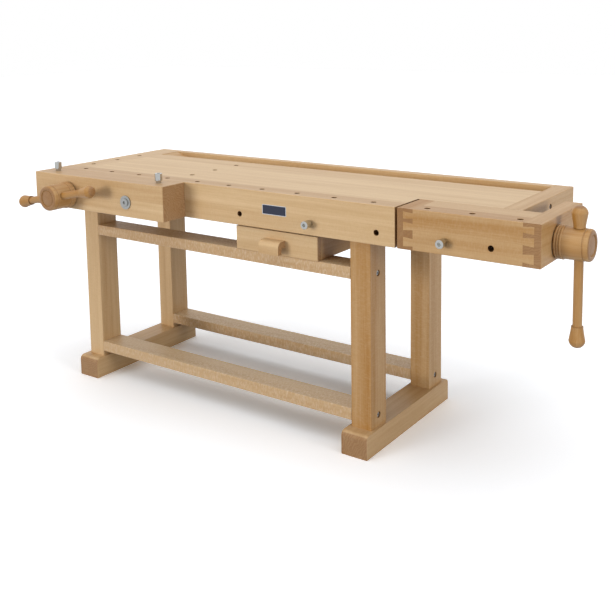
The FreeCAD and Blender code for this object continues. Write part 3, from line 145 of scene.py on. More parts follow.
# Turned shape of a hub: the ribs at its foot, their rise and the steps that round each, the
# groove's place from the end, width and depth, the rounding of the end and its steps, and the dish
# in millimetres, as depths under the end with what to add to the dish's radius. The bar hole is
# bored this far to either side of the bar's middle.
HUB_RIBS, RIB_RISE, RIB_STEPS = 3, 2.5 * MM, 6
GROOVE_PLACE, GROOVE_WIDTH, GROOVE_DEPTH = 20 * MM, 5 * MM, 2 * MM
HUB_ROUNDING, ROUNDING_STEPS = 9 * MM, 8
DISH = [(0.0, 1.6), (0.8, 0.4), (4.4, -0.6), (4.6, -2.6), (2.4, -5), (1.6, -12)]
BORE_REACH = 200 * MM

# Vise screws: the plain neck past the middle of the collar, the turned-down end, the gap before
# the thread, what it leaves free at both ends, the ridge's hold in the core, the widths of its
# foot as a share of the pitch and of its crest as a share of the foot, and its steps in one turn.
NECK, SCREW_END = 7 * MM, 9 * MM
THREAD_GAP, THREAD_FREE, THREAD_HOLD = 4 * MM, 18 * MM, 0.6 * MM
THREAD_FOOT, THREAD_CREST, THREAD_STEPS = 0.84, 0.52, 24

# Socket bolts: the head's height, radii of the shank and of the hexagon socket and its depth, the
# barrel nut's radius and length, the depth of the nuts in the trestle, and for each end cap its
# side, places along it and nut depth, in millimetres, and how far under the top the bolts lie.
BOLT_HEIGHT, BOLT_SHANK = 9 * MM, 4.9 * MM
SOCKET_RADIUS, SOCKET_DEPTH = 4 * MM, 5 * MM
NUT_RADIUS, NUT_LENGTH = 7.9 * MM, 29.6 * MM
TRESTLE_NUT_DEPTH = 139.5 * MM
CAP_BOLTS = [("left_end_cap", -1, (206.5, 341.5), 182), ("right_end_cap", 1, (220.0, 403.0), 124)]
CAP_BOLT_DROP = 33 * MM

# Wood screws by body: node, the way the head faces, and places from the low corner of the node's
# box along its two other axes, in millimetres. Then the rise of a head and the shank's radius.
LEG_SCREWS = [(21, 80), (21, 195), (21, 310)]
WOOD_SCREWS = {
    "bench": [("front_screw_nut", BACK, [(7, 7), (37, 7), (7, 54), (37, 54)]),
              ("front_guide_block", -UP, [(11, 12), (73, 12), (11, 38), (73, 38)]),
              ("tail_screw_nut", -BACK, [(9, 14), (51, 14), (9, 46), (51, 46)]),
              ("tail_guide_beam", -UP, [(30, 29), (149, 29), (268, 29)]),
              ("bench_jaw_block", -UP, [(14, 20), (42, 66)]),
              ("bearer_left", -UP, LEG_SCREWS), ("bearer_right", -UP, LEG_SCREWS),
              ("drawer_rails", -UP, [(9, 25), (9, 156), (9, 290),
                                     (403, 25), (403, 156), (403, 290)]),
              ("tail_guide_hangers", -UP, [(30, 10), (30, 76), (240, 10), (240, 76)])],
    "drawer": [("drawer_bottom", -UP, [(40, 410), (170, 410), (300, 410)]),
               ("drawer_front", BACK, [(151, 45), (198, 45)])],
    "tail_vise": [("tail_guide_strip", -UP, [(25, 8), (180, 8), (330, 8)])],
}
SCREW_RISE, SCREW_SHANK = 2.4 * MM, 1.8 * MM

# Dogs: the way each points out of its hole, and its spring's radius, place from the foot and arc.
DOGS = (("jaw_dog_left", UP), ("jaw_dog_right", UP), ("apron_dog", -BACK), ("tail_dog", -BACK))
SPRING_RADIUS, SPRING_PLACE, SPRING_ARC = 8.95 * MM, 31 * MM, math.radians(318)

# Bare plate: its middle from the middle of the bench and from the top of the apron, the rounding
# of its corners, and the width and height of its rim.
PLATE_PLACE, PLATE_DROP = 35.5 * MM, 62 * MM
PLATE_CORNER, RIM_WIDTH, RIM_HEIGHT = 3 * MM, 1.6 * MM, 0.35 * MM

# Stage: the floor's size in metres, shares of its colour to the eye, in metal and for the light
# that it throws back, and the strength of the even fill.
FLOOR_SIZE = 40
FLOOR_SEEN, FLOOR_MIRRORED, FLOOR_THROWN = 1.38, 1.0, 0.5
SURROUND_FILL = 0.18

# Lamps: name, azimuth, elevation and spread in degrees, and strength.
STAGE_LAMPS = [
    ("overhead_softbox", 0.0, 88.0, 90.0, 2.1),
    ("front_fill", -24.0, 6.0, 24.0, 2.1),
    ("right_fill", 82.0, 8.0, 24.0, 1.4),
]

# Camera: place in metres, turns in radians, focal length, image width and centre in pixels, film
# width in millimetres, and the shift down as a share of the image width.
CAMERA_PLACE = (1.89764, -2.65807, 1.44243)
CAMERA_TURNS = (("Z", 0.6127), ("X", -0.1308), ("Y", 0.0151), ("X", math.pi / 2))
FOCAL_LENGTH, IMAGE_WIDTH, IMAGE_CENTRE = 904.93, 615, 305.26
FILM_WIDTH = 36
CAMERA_SHIFT = -0.27


# ---- sizes and colours a user would change ------------------------------------------------
def length(name, text, default):
    """A size in metres, shown in the scene's length unit."""
    return bpy.props.FloatProperty(name=name, description=text, default=default, min=0.0,
                                   unit="LENGTH")


def tint(name, text, default):
    """A colour written as an sRGB hex value."""
    return bpy.props.StringProperty(name=name, description=text, default=default)


class BenchSizes(bpy.types.PropertyGroup):
    """Sizes of the parts that are added to the bench."""
    hub_flange: length("Hub foot", "Radius of the ribbed foot of a hub", 52 * MM)
    hub_barrel: length("Hub barrel", "Radius of a hub's barrel", 49 * MM)
    hub_rib: length("Hub rib", "Width of one turned rib at the foot of a hub", 8 * MM)
    hub_dish: length("Hub dish", "Radius of the hollow in a hub's end", 33 * MM)
    bar_hole: length("Bar hole", "Radius of the hole for the bar", 14.5 * MM)
    thread_crest: length("Thread crest", "Outer radius of the vise screws", 13.9 * MM)
    thread_pitch: length("Thread pitch", "Advance of the vise screws in one turn", 5 * MM)
    thread_depth: length("Thread depth", "Crest to root of the screw threads", 2.4 * MM)
    bolt_head: length("Bolt head", "Radius of a socket bolt's head", 8.5 * MM)
    bolt_sink: length("Bolt sinking", "Depth of a bolt head's seat under the face", 12 * MM)
    screw_head: length("Screw head", "Radius of a wood screw's head", 4.2 * MM)
    spring_wire: length("Spring wire", "Thickness of a dog's spring wire", 1.5 * MM)
    plate_width: length("Plate width", "Length of the bare plate on the apron", 103 * MM)
    plate_height: length("Plate height", "Height of the bare plate on the apron", 35 * MM)
    plate_thick: length("Plate thickness", "Thickness of the bare plate", 1.2 * MM)


class BenchColours(bpy.types.PropertyGroup):
    """Colours of the bench, as sRGB hex values."""
    beech_pale: tint("Pale beech", "Palest boards of steamed beech", "#D2B48A")
    beech_deep: tint("Deep beech", "Deepest boards of steamed beech", "#A67B46")
    beech_fleck: tint("Beech fleck", "Dark ray dashes on the faces", "#94683E")
    beech_silver: tint("Silver grain", "Pale rays of a quarter-sawn face", "#DEC9AB")
    # Painted shade: a dark brown laid on the walls of holes, where shade falls.
    painted_hole_shade: tint("Bored walls", "Dark brown painted on hole walls as their shade", "#5A3A1C")
    beech_end: tint("End grain", "Sawn end grain under oil", "#8A6440")
    ply_face: tint("Plywood face", "Rotary-cut birch face veneer", "#D9BE92")
    ply_line: tint("Plywood figure", "Figure lines of the birch veneer", "#C4A270")
    steel: tint("Bright steel", "Turned and polished steel", "#C4C4C0")
    zinc: tint("Zinc plating", "Clear-passivated zinc on steel", "#B2B3B1")
    iron: tint("Cast iron", "Painted cast nut", "#3F4143")
    nylon: tint("Black nylon", "Moulded bush", "#1E1F21")
    plate: tint("Plate field", "Dark blue-grey enamel of the plate", "#1D2135")
    rim: tint("Plate rim", "Pale edge of the plate", "#C9CCD2")
    floor: tint("Studio floor", "Matt floor paper", "#F5F7FA")


# ---- material helpers ---------------------------------------------------------------------
def linear(hexa):
    """Linear RGBA of an sRGB hex colour."""
    values = [int(hexa[i:i + 2], 16) / 255 for i in (1, 3, 5)]
    return [v / 12.92 if v <= 0.04045 else ((v + 0.055) / 1.055) ** 2.4 for v in values] + [1.0]


def shade(colour, share):
    """A linear colour made darker or brighter."""
    return [value * share for value in colour[:3]] + [1.0]


def add(tree, kind, inputs=(), **settings):
    """Adds a node with its settings and links.

    Inputs fill its open sockets in order, or by name, each with a value, an output, or a node
    whose first open output is meant.
    """
    made = tree.nodes.new("ShaderNode" + kind)
    for name, value in settings.items():
        setattr(made, name, value)
    if not isinstance(inputs, dict):
        inputs = dict(zip([socket for socket in made.inputs if socket.enabled], inputs))
    for socket, value in inputs.items():
        if isinstance(socket, str):
            socket = made.inputs[socket]
        if isinstance(value, bpy.types.Node):
            value = next(output for output in value.outputs if output.enabled)
        if isinstance(value, bpy.types.NodeSocket):
            tree.links.new(value, socket)
        else:
            socket.default_value = value
    return made


def blank(name):
    """New empty node material."""
    made = bpy.data.materials.new(name)
    made.use_nodes = True
    made.node_tree.nodes.clear()
    return made, made.node_tree


def wear(obj, material):
    """Gives an object one material."""
    obj.data.materials.clear()
    obj.data.materials.append(material)


def board_place(tree, turn=(0.0, 0.0, 0.0), low=ORIGIN):
    """Millimetres along and across a board, from its corner."""
    place = add(tree, "TexCoord")
    spot = add(tree, "Mapping", {"Vector": place.outputs["Object"], "Rotation": turn,
                                 "Scale": (PER_METRE,) * 3,
                                 "Location": [-value * PER_METRE for value in low]})
    return place, spot


def patterns(tree, spot, table):
    """Noise patterns by name, each with its size in millimetres, detail and roughness."""
    made = {}
    for name, (size, detail, rough) in table.items():
        cells = add(tree, "VectorMath", [spot, [1 / s for s in size]], operation="MULTIPLY")
        made[name] = add(tree, "TexNoise", {"Vector": cells, "Scale": 1.0, "Detail": detail,
                                            "Roughness": rough})
    return made


def beech(name, grain, staves, width, depth, silver, box, seed, bored=False):
    """Steamed beech, planed and oiled: silky, faintly pink, calm along the board.

    The eye gets broad bands that differ from stave to stave, short dark dashes close to, pale
    flecks across a quarter-sawn face, and darker end grain with arcs. The fibre lines are 2 mm
    apart, the dashes 4.5 mm long and the arcs 9 mm apart. Each is drawn two to ten times as coarse
    as it is in the wood, because the fine ones would not show.
    """
    colours = bpy.context.scene.bench_colours
    material, tree = blank(name)
    turn = GRAIN_TURN[grain]
    spin = Matrix.Rotation(turn[2], 3, "Z") @ Matrix.Rotation(turn[1], 3, "Y")
    corners = [spin @ Vector(corner) for corner in box]
    place, spot = board_place(tree, turn, [min(pair) for pair in zip(*corners)])
    count = 0.5
    if staves:
        across = add(tree, "SeparateXYZ", [spot]).outputs[staves]
        count = add(tree, "Math", [across, width], operation="DIVIDE")
    stave = add(tree, "Math", [count], operation="FLOOR")
    number = add(tree, "Math", [stave, seed], operation="ADD")
    chance = add(tree, "TexWhiteNoise", {"W": number}, noise_dimensions="1D")
    shift = add(tree, "VectorMath", [chance.outputs["Color"], STAVE_SHIFT, spot],
                operation="MULTIPLY_ADD")
    figure = patterns(tree, shift, BEECH_PATTERNS)

    radial = add(tree, "VectorMath", [shift, (0.0, 1.0, 1.0)], operation="MULTIPLY")
    radius = add(tree, "VectorMath", [radial], operation="LENGTH")
    wander = add(tree, "Math", [figure["streak"], RING_WANDER, radius], operation="MULTIPLY_ADD")
    turns = add(tree, "Math", [wander, 2 * math.pi / RING_PITCH], operation="MULTIPLY")
    ring = add(tree, "Math", [turns], operation="SINE")

    share = add(tree, "Math", [ring, 0.03, depth], operation="MULTIPLY_ADD")
    for value, strength in ((figure["streak"], 1.0), (figure["band"], 0.4),
                            (figure["fibre"], 0.45), (chance.outputs["Value"], 0.22)):
        swing = add(tree, "Math", [value, 0.5], operation="SUBTRACT")
        share = add(tree, "Math", [swing, strength, share], operation="MULTIPLY_ADD")
    clean = add(tree, "Clamp", {"Value": share, "Max": 1.4})
    wood = add(tree, "Mix", [clean, linear(colours.beech_pale), linear(colours.beech_deep)],
               data_type="RGBA", clamp_factor=False)

    fleck = add(tree, "MapRange", {"Value": figure["dash"], "From Min": 0.6, "From Max": 0.74,
                                   "To Max": 0.35})
    shine = add(tree, "MapRange", {"Value": figure["ray"], "From Min": 0.46, "From Max": 0.66,
                                   "To Max": 0.75 * silver})
    facing = add(tree, "VectorMath", [place.outputs["Normal"], spin.inverted() @ ALONG],
                 operation="DOT_PRODUCT")
    facing = add(tree, "Math", [facing], operation="ABSOLUTE")
    end = add(tree, "MapRange", {"Value": facing, "From Min": 0.62, "From Max": 0.8})
    arcs = add(tree, "Math", [ring, 0.1, 0.78], operation="MULTIPLY_ADD")
    end = add(tree, "Math", [end, arcs], operation="MULTIPLY")
    layers = [(fleck, colours.beech_fleck), (shine, colours.beech_silver),
              (end, colours.beech_end)]
    if staves:
        part = add(tree, "Math", [count], operation="FRACT")
        gap = add(tree, "Math", [part, GLUE_LINE / width], operation="LESS_THAN")
        gap = add(tree, "Math", [gap, 0.3], operation="MULTIPLY")
        layers.append((gap, colours.beech_fleck))
    # Painted shade: the walls of the holes turn dark brown.
    if bored:
        size = [abs(b - a) * PER_METRE for a, b in zip(*corners)]
        layers.append((inside(tree, spot, size), colours.painted_hole_shade))
    for layer, colour in layers:
        wood = add(tree, "Mix", [layer, wood, linear(colour)], data_type="RGBA")

    hollow = add(tree, "Math", [fleck, -0.3], operation="MULTIPLY")
    height = add(tree, "Math", [figure["fibre"], 0.5, hollow], operation="MULTIPLY_ADD")
    bump = add(tree, "Bump", {"Height": height, "Strength": 0.12, "Distance": 0.4 * MM})
    sheen = add(tree, "MapRange", {"Value": figure["fibre"], "To Min": 0.36, "To Max": 0.5})
    shader = add(tree, "BsdfPrincipled", {"Base Color": wood, "Roughness": sheen, "IOR": 1.5,
                                          "Normal": bump})
    add(tree, "OutputMaterial", [shader])
    return material


def inside(tree, spot, size):
    """Share of 0.75 of painted shade for what lies within a board's box: the walls of its holes."""
    back = add(tree, "VectorMath", [size, spot], operation="SUBTRACT")
    near = add(tree, "VectorMath", [spot, back], operation="MINIMUM")
    parts = add(tree, "SeparateXYZ", [near]).outputs
    least = add(tree, "Math", [parts[0], parts[1]], operation="MINIMUM")
    least = add(tree, "Math", [least, parts[2]], operation="MINIMUM")
    wall = add(tree, "Math", [least, BORE_DEPTH], operation="GREATER_THAN")
    return add(tree, "Math", [wall, 0.75], operation="MULTIPLY")


def birch_plywood(name, face):
    """Birch plywood: a pale rotary-cut face with wide soft figure, matt."""
    material, tree = blank(name)
    _, spot = board_place(tree)
    figure = patterns(tree, spot, {"wide": ((340, 30, 30), 4, 0.55),
                                   "line": ((120, 2.5, 2.5), 3, 0.55)})
    lines = add(tree, "Math", [figure["line"], 0.4, -0.5], operation="MULTIPLY_ADD")
    share = add(tree, "Math", [figure["wide"], 1.4, lines], operation="MULTIPLY_ADD")
    clean = add(tree, "Clamp", [share])
    line_colour = bpy.context.scene.bench_colours.ply_line
    colour = add(tree, "Mix", [clean, linear(face), linear(line_colour)], data_type="RGBA")
    bump = add(tree, "Bump", {"Height": figure["line"], "Strength": 0.1, "Distance": 0.3 * MM})
    shader = add(tree, "BsdfPrincipled", {"Base Color": colour, "Roughness": 0.6, "IOR": 1.5,
                                          "Normal": bump})
    add(tree, "OutputMaterial", [shader])
    return material


def metal(name, hexa, rough, patch, grit, strength):
    """Metal with soft patches in its gloss and a fine bump, both sized in millimetres."""
    material, tree = blank(name)
    _, spot = board_place(tree)
    marks = patterns(tree, spot, {"cloud": ((patch,) * 3, 3, 0.55), "fine": ((grit,) * 3, 2, 0.55)})
    dull = add(tree, "MapRange", {"Value": marks["cloud"], "From Min": 0.3, "From Max": 0.7,
                                  "To Min": rough * 0.75, "To Max": rough * 1.3})
    veil = add(tree, "Math", [marks["cloud"], 0.35], operation="MULTIPLY")
    base = linear(hexa)
    colour = add(tree, "Mix", [veil, base, shade(base, 0.6)], data_type="RGBA")
    bump = add(tree, "Bump", {"Height": marks["fine"], "Strength": strength, "Distance": 0.2 * MM})
    shader = add(tree, "BsdfPrincipled", {"Base Color": colour, "Metallic": 1.0,
                                          "Roughness": dull, "Normal": bump})
    add(tree, "OutputMaterial", [shader])
    return material


def coating(name, hexa, rough, ior, grain):
    """Smooth dielectric surface with a faint mottle, sized in millimetres."""
    material, tree = blank(name)
    _, spot = board_place(tree)
    mottle = patterns(tree, spot, {"mottle": ((grain,) * 3, 3, 0.55)})["mottle"]
    base = linear(hexa)
    colour = add(tree, "Mix", [mottle, shade(base, 0.85), shade(base, 1.12)], data_type="RGBA")
    bump = add(tree, "Bump", {"Height": mottle, "Strength": 0.08, "Distance": 0.3 * MM})
    shader = add(tree, "BsdfPrincipled", {"Base Color": colour, "Roughness": rough, "IOR": ior,
                                          "Normal": bump})
    add(tree, "OutputMaterial", [shader])
    return material


# Finishes: how each is made, its colour, and for metal its roughness, patches, grit and bump, or
# for a coating its roughness, IOR and mottle.
FINISHES = {
    # Rotary-cut veneer, sanded: pale, matt, with wide soft figure.
    "birch_plywood": (birch_plywood, "ply_face"),
    # Turned, polished steel: sharp reflections with a faint turned grain.
    "polished_steel": (metal, "steel", 0.1, 30, 0.6, 0.05),
    # Zinc-plated steel: pale grey, half dull, a little cloudy.
    "zinc_plated_steel": (metal, "zinc", 0.34, 12, 0.9, 0.15),
    # Painted casting: dark grey, dull, with the sand's mottle under the paint.
    "painted_cast_iron": (coating, "iron", 0.55, 1.5, 2.0),
    # Moulded nylon: near black, with a soft sheen.
    "black_nylon": (coating, "nylon", 0.42, 1.53, 3.0),
    # Lacquered rim of the plate: pale grey, smooth.
    "plate_rim": (coating, "rim", 0.35, 1.5, 4.0),
    # Stoved enamel field of the plate: dark blue, glossy.
    "plate_enamel": (coating, "plate", 0.28, 1.5, 6.0),
}


def stock(name):
    """A finish from the table, made once and used by every piece that has it."""
    if name not in bpy.data.materials:
        make, colour, *values = FINISHES[name]
        make(name, getattr(bpy.context.scene.bench_colours, colour), *values)
    return bpy.data.materials[name]


# ---- modelling helpers --------------------------------------------------------------------
def start_clean():
    """Leaves edit mode and deselects everything."""
    if bpy.context.object and bpy.context.object.mode != "OBJECT":
        bpy.ops.object.mode_set(mode="OBJECT")
    bpy.ops.object.select_all(action="DESELECT")


def pick(obj):
    """Selects one object alone and makes it active."""
    start_clean()
    bpy.context.view_layer.objects.active = obj
    obj.select_set(True)


def settle(obj, name):
    """Names a piece and puts its place, turn and scale into its mesh."""
    pick(obj)
    bpy.ops.object.transform_apply(location=True, rotation=True, scale=True)
    obj.name = obj.data.name = name
    return obj


def close_shape(obj):
    """Merges doubles and turns every face outwards."""
    pick(obj)
    bpy.ops.object.mode_set(mode="EDIT")
    bpy.ops.mesh.select_all(action="SELECT")
    bpy.ops.mesh.remove_doubles(threshold=MERGE)
    bpy.ops.mesh.normals_make_consistent(inside=False)
    bpy.ops.object.mode_set(mode="OBJECT")
    bpy.ops.object.shade_smooth_by_angle(angle=SMOOTH_ANGLE)


def turn_piece(name, start, axis, stations, sides=96):
    """Turned solid: stations are distances along the axis with the radius there."""
    start_clean()
    first = stations[0]
    aim = axis.to_track_quat("Z", "Y").to_euler()
    bpy.ops.mesh.primitive_circle_add(vertices=sides, radius=first[1], fill_type="NGON",
                                      location=start + axis * first[0], rotation=aim)
    obj = settle(bpy.context.object, name)
    bpy.ops.object.mode_set(mode="EDIT")
    bpy.ops.mesh.select_all(action="SELECT")
    for (at, radius), (next_at, next_radius) in zip(stations, stations[1:]):
        step = axis * (next_at - at)
        bpy.ops.mesh.extrude_region_move(TRANSFORM_OT_translate={"value": step})
        if next_radius != radius:
            bpy.ops.transform.resize(value=(next_radius / radius,) * 3,
                                     center_override=start + axis * next_at)
    bpy.ops.object.mode_set(mode="OBJECT")
    close_shape(obj)
    return obj


def cut_away(obj, cutter):
    """Cuts one solid out of another and removes the cutter."""
    pick(obj)
    tool = obj.modifiers.new("Cut", "BOOLEAN")
    tool.object, tool.solver, tool.operation = cutter, "EXACT", "DIFFERENCE"
    bpy.ops.object.modifier_apply(modifier=tool.name)
    bpy.data.objects.remove(cutter)


def join_into(pieces, name):
    """Joins several solids into one piece."""
    start_clean()
    for piece in pieces:
        piece.select_set(True)
    bpy.context.view_layer.objects.active = pieces[0]
    bpy.ops.object.join()
    pieces[0].name = pieces[0].data.name = name
    return pieces[0]


def placed_copy(obj, matrix):
    """A copy with its own mesh, moved in that mesh."""
    made = obj.copy()
    made.data = obj.data.copy()
    made.data.transform(matrix)
    bpy.context.scene.collection.objects.link(made)
    return made


def aimed(point, axis):
    """Matrix that carries the origin to a point and the Z axis to an axis."""
    return Matrix.Translation(point) @ axis.to_track_quat("Z", "Y").to_matrix().to_4x4()


def set_copies(model, places, name):
    """Copies of a model at several places, joined into one piece; the model is removed."""
    row = join_into([placed_copy(model, aimed(point, axis)) for point, axis in places], name)
    bpy.data.objects.remove(model)
    return row


def finish_piece(obj, body, material, slot, *replaced):
    """Dresses a new piece and fixes it to its body."""
    wear(obj, material)
    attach(obj, body)
    if replaced:
        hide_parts(*replaced)
    return obj


def middle(node):
    """Middle of a node's box."""
    low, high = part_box(node)
    return (low + high) / 2


def run_of(node, axis):
    """Start and length of a node along an axis, through the middle of its box."""
    low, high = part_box(node)
    reach = (high - low).dot(Vector(map(abs, axis)))
    return middle(node) - axis * (reach / 2), reach


def joint_axis(name):
    """Axis of a joint."""
    joint = next(joint for joint in frame["joints"] if joint["name"] == name)
    return Vector(joint["axis"]).normalized()


def wave(start, end, base, rise):
    """Stations of a rounded rib, or of a round groove where rise is negative."""
    return [(start + (end - start) * i / RIB_STEPS,
             base + rise * math.sin(math.pi * i / RIB_STEPS)) for i in range(RIB_STEPS + 1)]


# ---- operators ----------------------------------------------------------------------------
class BENCH_OT_boards(bpy.types.Operator):
    """Gives every board its own beech, with the grain along it, and the bottoms their plywood"""
    bl_idname = "bench.boards"
    bl_label = "Beech and plywood boards"

    def execute(self, context):
        for row, (node, *figure) in enumerate(BOARDS):
            made = beech("beech_" + node, *figure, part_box(node), row * SEED_STEP, node in HOLE_SHADED_BOARDS)
            wear(frame["nodes"][node], made)
        for node in PLYWOOD_PARTS:
            wear(frame["nodes"][node], stock("birch_plywood"))
        return {"FINISHED"}


class BENCH_OT_metalwork(bpy.types.Operator):
    """Gives the dogs, rods, washers, nuts and bushes their finishes"""
    bl_idname = "bench.metalwork"
    bl_label = "Metal and nylon parts"

    def execute(self, context):
        for finish, nodes in METAL_PARTS.items():
            for node in nodes:
                wear(frame["nodes"][node], stock(finish))
        return {"FINISHED"}


class BENCH_OT_hubs(bpy.types.Operator):
    """Turns both wooden hubs, with rounded ribs, a groove, a dished end and the bar hole"""
    bl_idname = "bench.hubs"
    bl_label = "Turned hubs"

    def execute(self, context):
        sizes = context.scene.bench_sizes
        for end, axis, grain in (("front", -BACK, "Y"), ("tail", ALONG, "X")):
            node = end + "_hub"
            start, reach = run_of(node, axis)
            reach -= 0.05 * MM  # keeps the turned end inside the plain hub's box
            hub = turn_piece(node + "_turned", start, axis, self.outline(sizes, reach))
            line = joint_axis(end + "_bar_slide")
            bore = turn_piece("cutter", middle(end + "_bar") - line * BORE_REACH, line,
                              [(0, sizes.bar_hole), (2 * BORE_REACH, sizes.bar_hole)], 64)
            cut_away(hub, bore)
            close_shape(hub)
            made = beech("beech_" + node, grain, "", 0, HUB_DEPTH, 0.0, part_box(node), HUB_SEED)
            finish_piece(hub, end + "_vise_screw", made, "beech", node)
        return {"FINISHED"}

    def outline(self, sizes, reach):
        """Stations of the turned shape, from the ribbed foot to the dish in the end."""
        rib, barrel, edge = sizes.hub_rib, sizes.hub_barrel, HUB_ROUNDING
        low = sizes.hub_flange - RIB_RISE
        stations = [(0.0, low)]
        for i in range(HUB_RIBS):
            stations += wave(i * rib, (i + 1) * rib, low, RIB_RISE)[1:]
        stations += [(HUB_RIBS * rib + 0.3 * MM, barrel)]
        groove = reach - GROOVE_PLACE
        stations += wave(groove, groove + GROOVE_WIDTH, barrel, -GROOVE_DEPTH)
        for i in range(ROUNDING_STEPS + 1):
            angle = math.pi / 2 * i / ROUNDING_STEPS
            stations.append((reach - edge + edge * math.sin(angle),
                             barrel - edge + edge * math.cos(angle)))
        stations += [(reach - deep * MM, sizes.hub_dish + more * MM) for deep, more in DISH]
        return stations + [(reach - 1.2 * MM, 2 * MM)]


class BENCH_OT_spindles(bpy.types.Operator):
    """Cuts the trapezoidal threads of both vise screws"""
    bl_idname = "bench.spindles"
    bl_label = "Threaded spindles"

    def execute(self, context):
        sizes = context.scene.bench_sizes
        crest = sizes.thread_crest
        root = crest - sizes.thread_depth
        for end, axis in (("front", BACK), ("tail", -ALONG)):
            node = end + "_spindle"
            start, reach = run_of(node, axis)
            collar = (middle(end + "_collar") - start).dot(axis) + NECK
            core = turn_piece(node + "_core", start, axis,
                              [(0.2 * MM, crest), (collar, crest), (collar + 2 * MM, root),
                               (reach - SCREW_END, root),
                               (reach - SCREW_END + 1 * MM, root - 1 * MM),
                               (reach - 1 * MM, root - 1 * MM), (reach, root - 2 * MM)], 48)
            ridge = self.ridge(root, crest, sizes.thread_pitch, reach - collar - THREAD_FREE)
            ridge.matrix_world = aimed(start + axis * (collar + THREAD_GAP), axis)
            settle(ridge, "ridge")
            screw = join_into([core, ridge], node + "_threaded")
            close_shape(screw)
            finish_piece(screw, end + "_vise_screw", stock("polished_steel"), "bright_steel", node)
        return {"FINISHED"}

    def ridge(self, root, crest, pitch, reach):
        """A long right-hand thread ridge along Z, swept from its trapezium by a screw modifier."""
        inner = root - THREAD_HOLD
        start_clean()
        bpy.ops.mesh.primitive_plane_add(size=crest - inner, rotation=(math.pi / 2, 0, 0),
                                         location=((crest + inner) / 2, 0, 0))
        obj = settle(bpy.context.object, "ridge")
        bpy.ops.object.mode_set(mode="EDIT")
        bpy.ops.mesh.select_mode(type="VERT")
        bpy.ops.mesh.select_all(action="SELECT")
        bpy.ops.transform.resize(value=(1, 1, THREAD_FOOT * pitch / (crest - inner)),
                                 center_override=ORIGIN)
        bpy.ops.mesh.select_all(action="DESELECT")
        for vertex in bmesh.from_edit_mesh(obj.data).verts:
            vertex.select_set(vertex.co.x > root)
        bpy.ops.transform.resize(value=(1, 1, THREAD_CREST), center_override=ORIGIN)
        bpy.ops.mesh.select_all(action="SELECT")
        bpy.ops.mesh.delete(type="ONLY_FACE")
        bpy.ops.object.mode_set(mode="OBJECT")
        tool = obj.modifiers.new("Thread", "SCREW")
        tool.axis, tool.screw_offset, tool.angle = "Z", pitch, 2 * math.pi
        tool.iterations = int(reach / pitch)
        tool.steps = tool.render_steps = THREAD_STEPS
        bpy.ops.object.modifier_apply(modifier=tool.name)
        bpy.ops.object.mode_set(mode="EDIT")
        bpy.ops.mesh.select_all(action="SELECT")
        bpy.ops.mesh.fill_holes(sides=4)
        bpy.ops.object.mode_set(mode="OBJECT")
        return obj


class BENCH_OT_bolts(bpy.types.Operator):
    """Sets the socket bolts and barrel nuts of the trestle and of the end caps"""
    bl_idname = "bench.bolts"
    bl_label = "Socket bolts"

    def execute(self, context):
        legs = []
        for side, end in ((-1, "left"), (1, "right")):
            for row, stretcher in (("front", "lower_front"), ("rear", "lower_rear"),
                                   ("front", "upper_front")):
                spot = middle("stretcher_" + stretcher)
                spot.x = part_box("leg_%s_%s" % (row, end))[side > 0].x
                legs.append((spot, ALONG * -side))
        trestle = self.set_row(legs, TRESTLE_NUT_DEPTH, "stretcher_bolts_socket")
        low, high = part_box("front_apron")
        caps = []
        for node, side, rows, deep in CAP_BOLTS:
            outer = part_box(node)[side > 0].x
            places = [(Vector((outer, low.y + along * MM, high.z - CAP_BOLT_DROP)), ALONG * -side)
                      for along in rows]
            caps.append(self.set_row(places, deep * MM, "cap_row"))
        for row, node in ((trestle, "stretcher_bolts"),
                          (join_into(caps, "cap_bolts_socket"), "cap_bolts")):
            finish_piece(row, "bench", stock("zinc_plated_steel"), "zinc_steel", node)
        return {"FINISHED"}

    def set_row(self, places, deep, name):
        """Bolts at points on the outer face, with their barrel nuts at one depth."""
        sizes = bpy.context.scene.bench_sizes
        head, seat = sizes.bolt_head, sizes.bolt_sink
        top = seat - BOLT_HEIGHT
        bolt = turn_piece("bolt", ORIGIN, UP,
                          [(top, head - 0.9 * MM), (top + 0.8 * MM, head), (seat, head),
                           (seat, BOLT_SHANK), (deep - 1 * MM, BOLT_SHANK),
                           (deep, BOLT_SHANK - 0.7 * MM)], 32)
        socket = turn_piece("cutter", ORIGIN, UP, [(top - 1 * MM, SOCKET_RADIUS),
                                                   (top + SOCKET_DEPTH, SOCKET_RADIUS)], 6)
        cut_away(bolt, socket)
        nut = turn_piece("nut", UP * (-NUT_LENGTH / 2), UP,
                         [(0, NUT_RADIUS - 0.7 * MM), (0.7 * MM, NUT_RADIUS),
                          (NUT_LENGTH - 0.7 * MM, NUT_RADIUS),
                          (NUT_LENGTH, NUT_RADIUS - 0.7 * MM)], 32)
        bolts = set_copies(bolt, places, "bolts")
        nuts = set_copies(nut, [(point + inward * deep, UP) for point, inward in places], "nuts")
        row = join_into([bolts, nuts], name)
        close_shape(row)
        return row


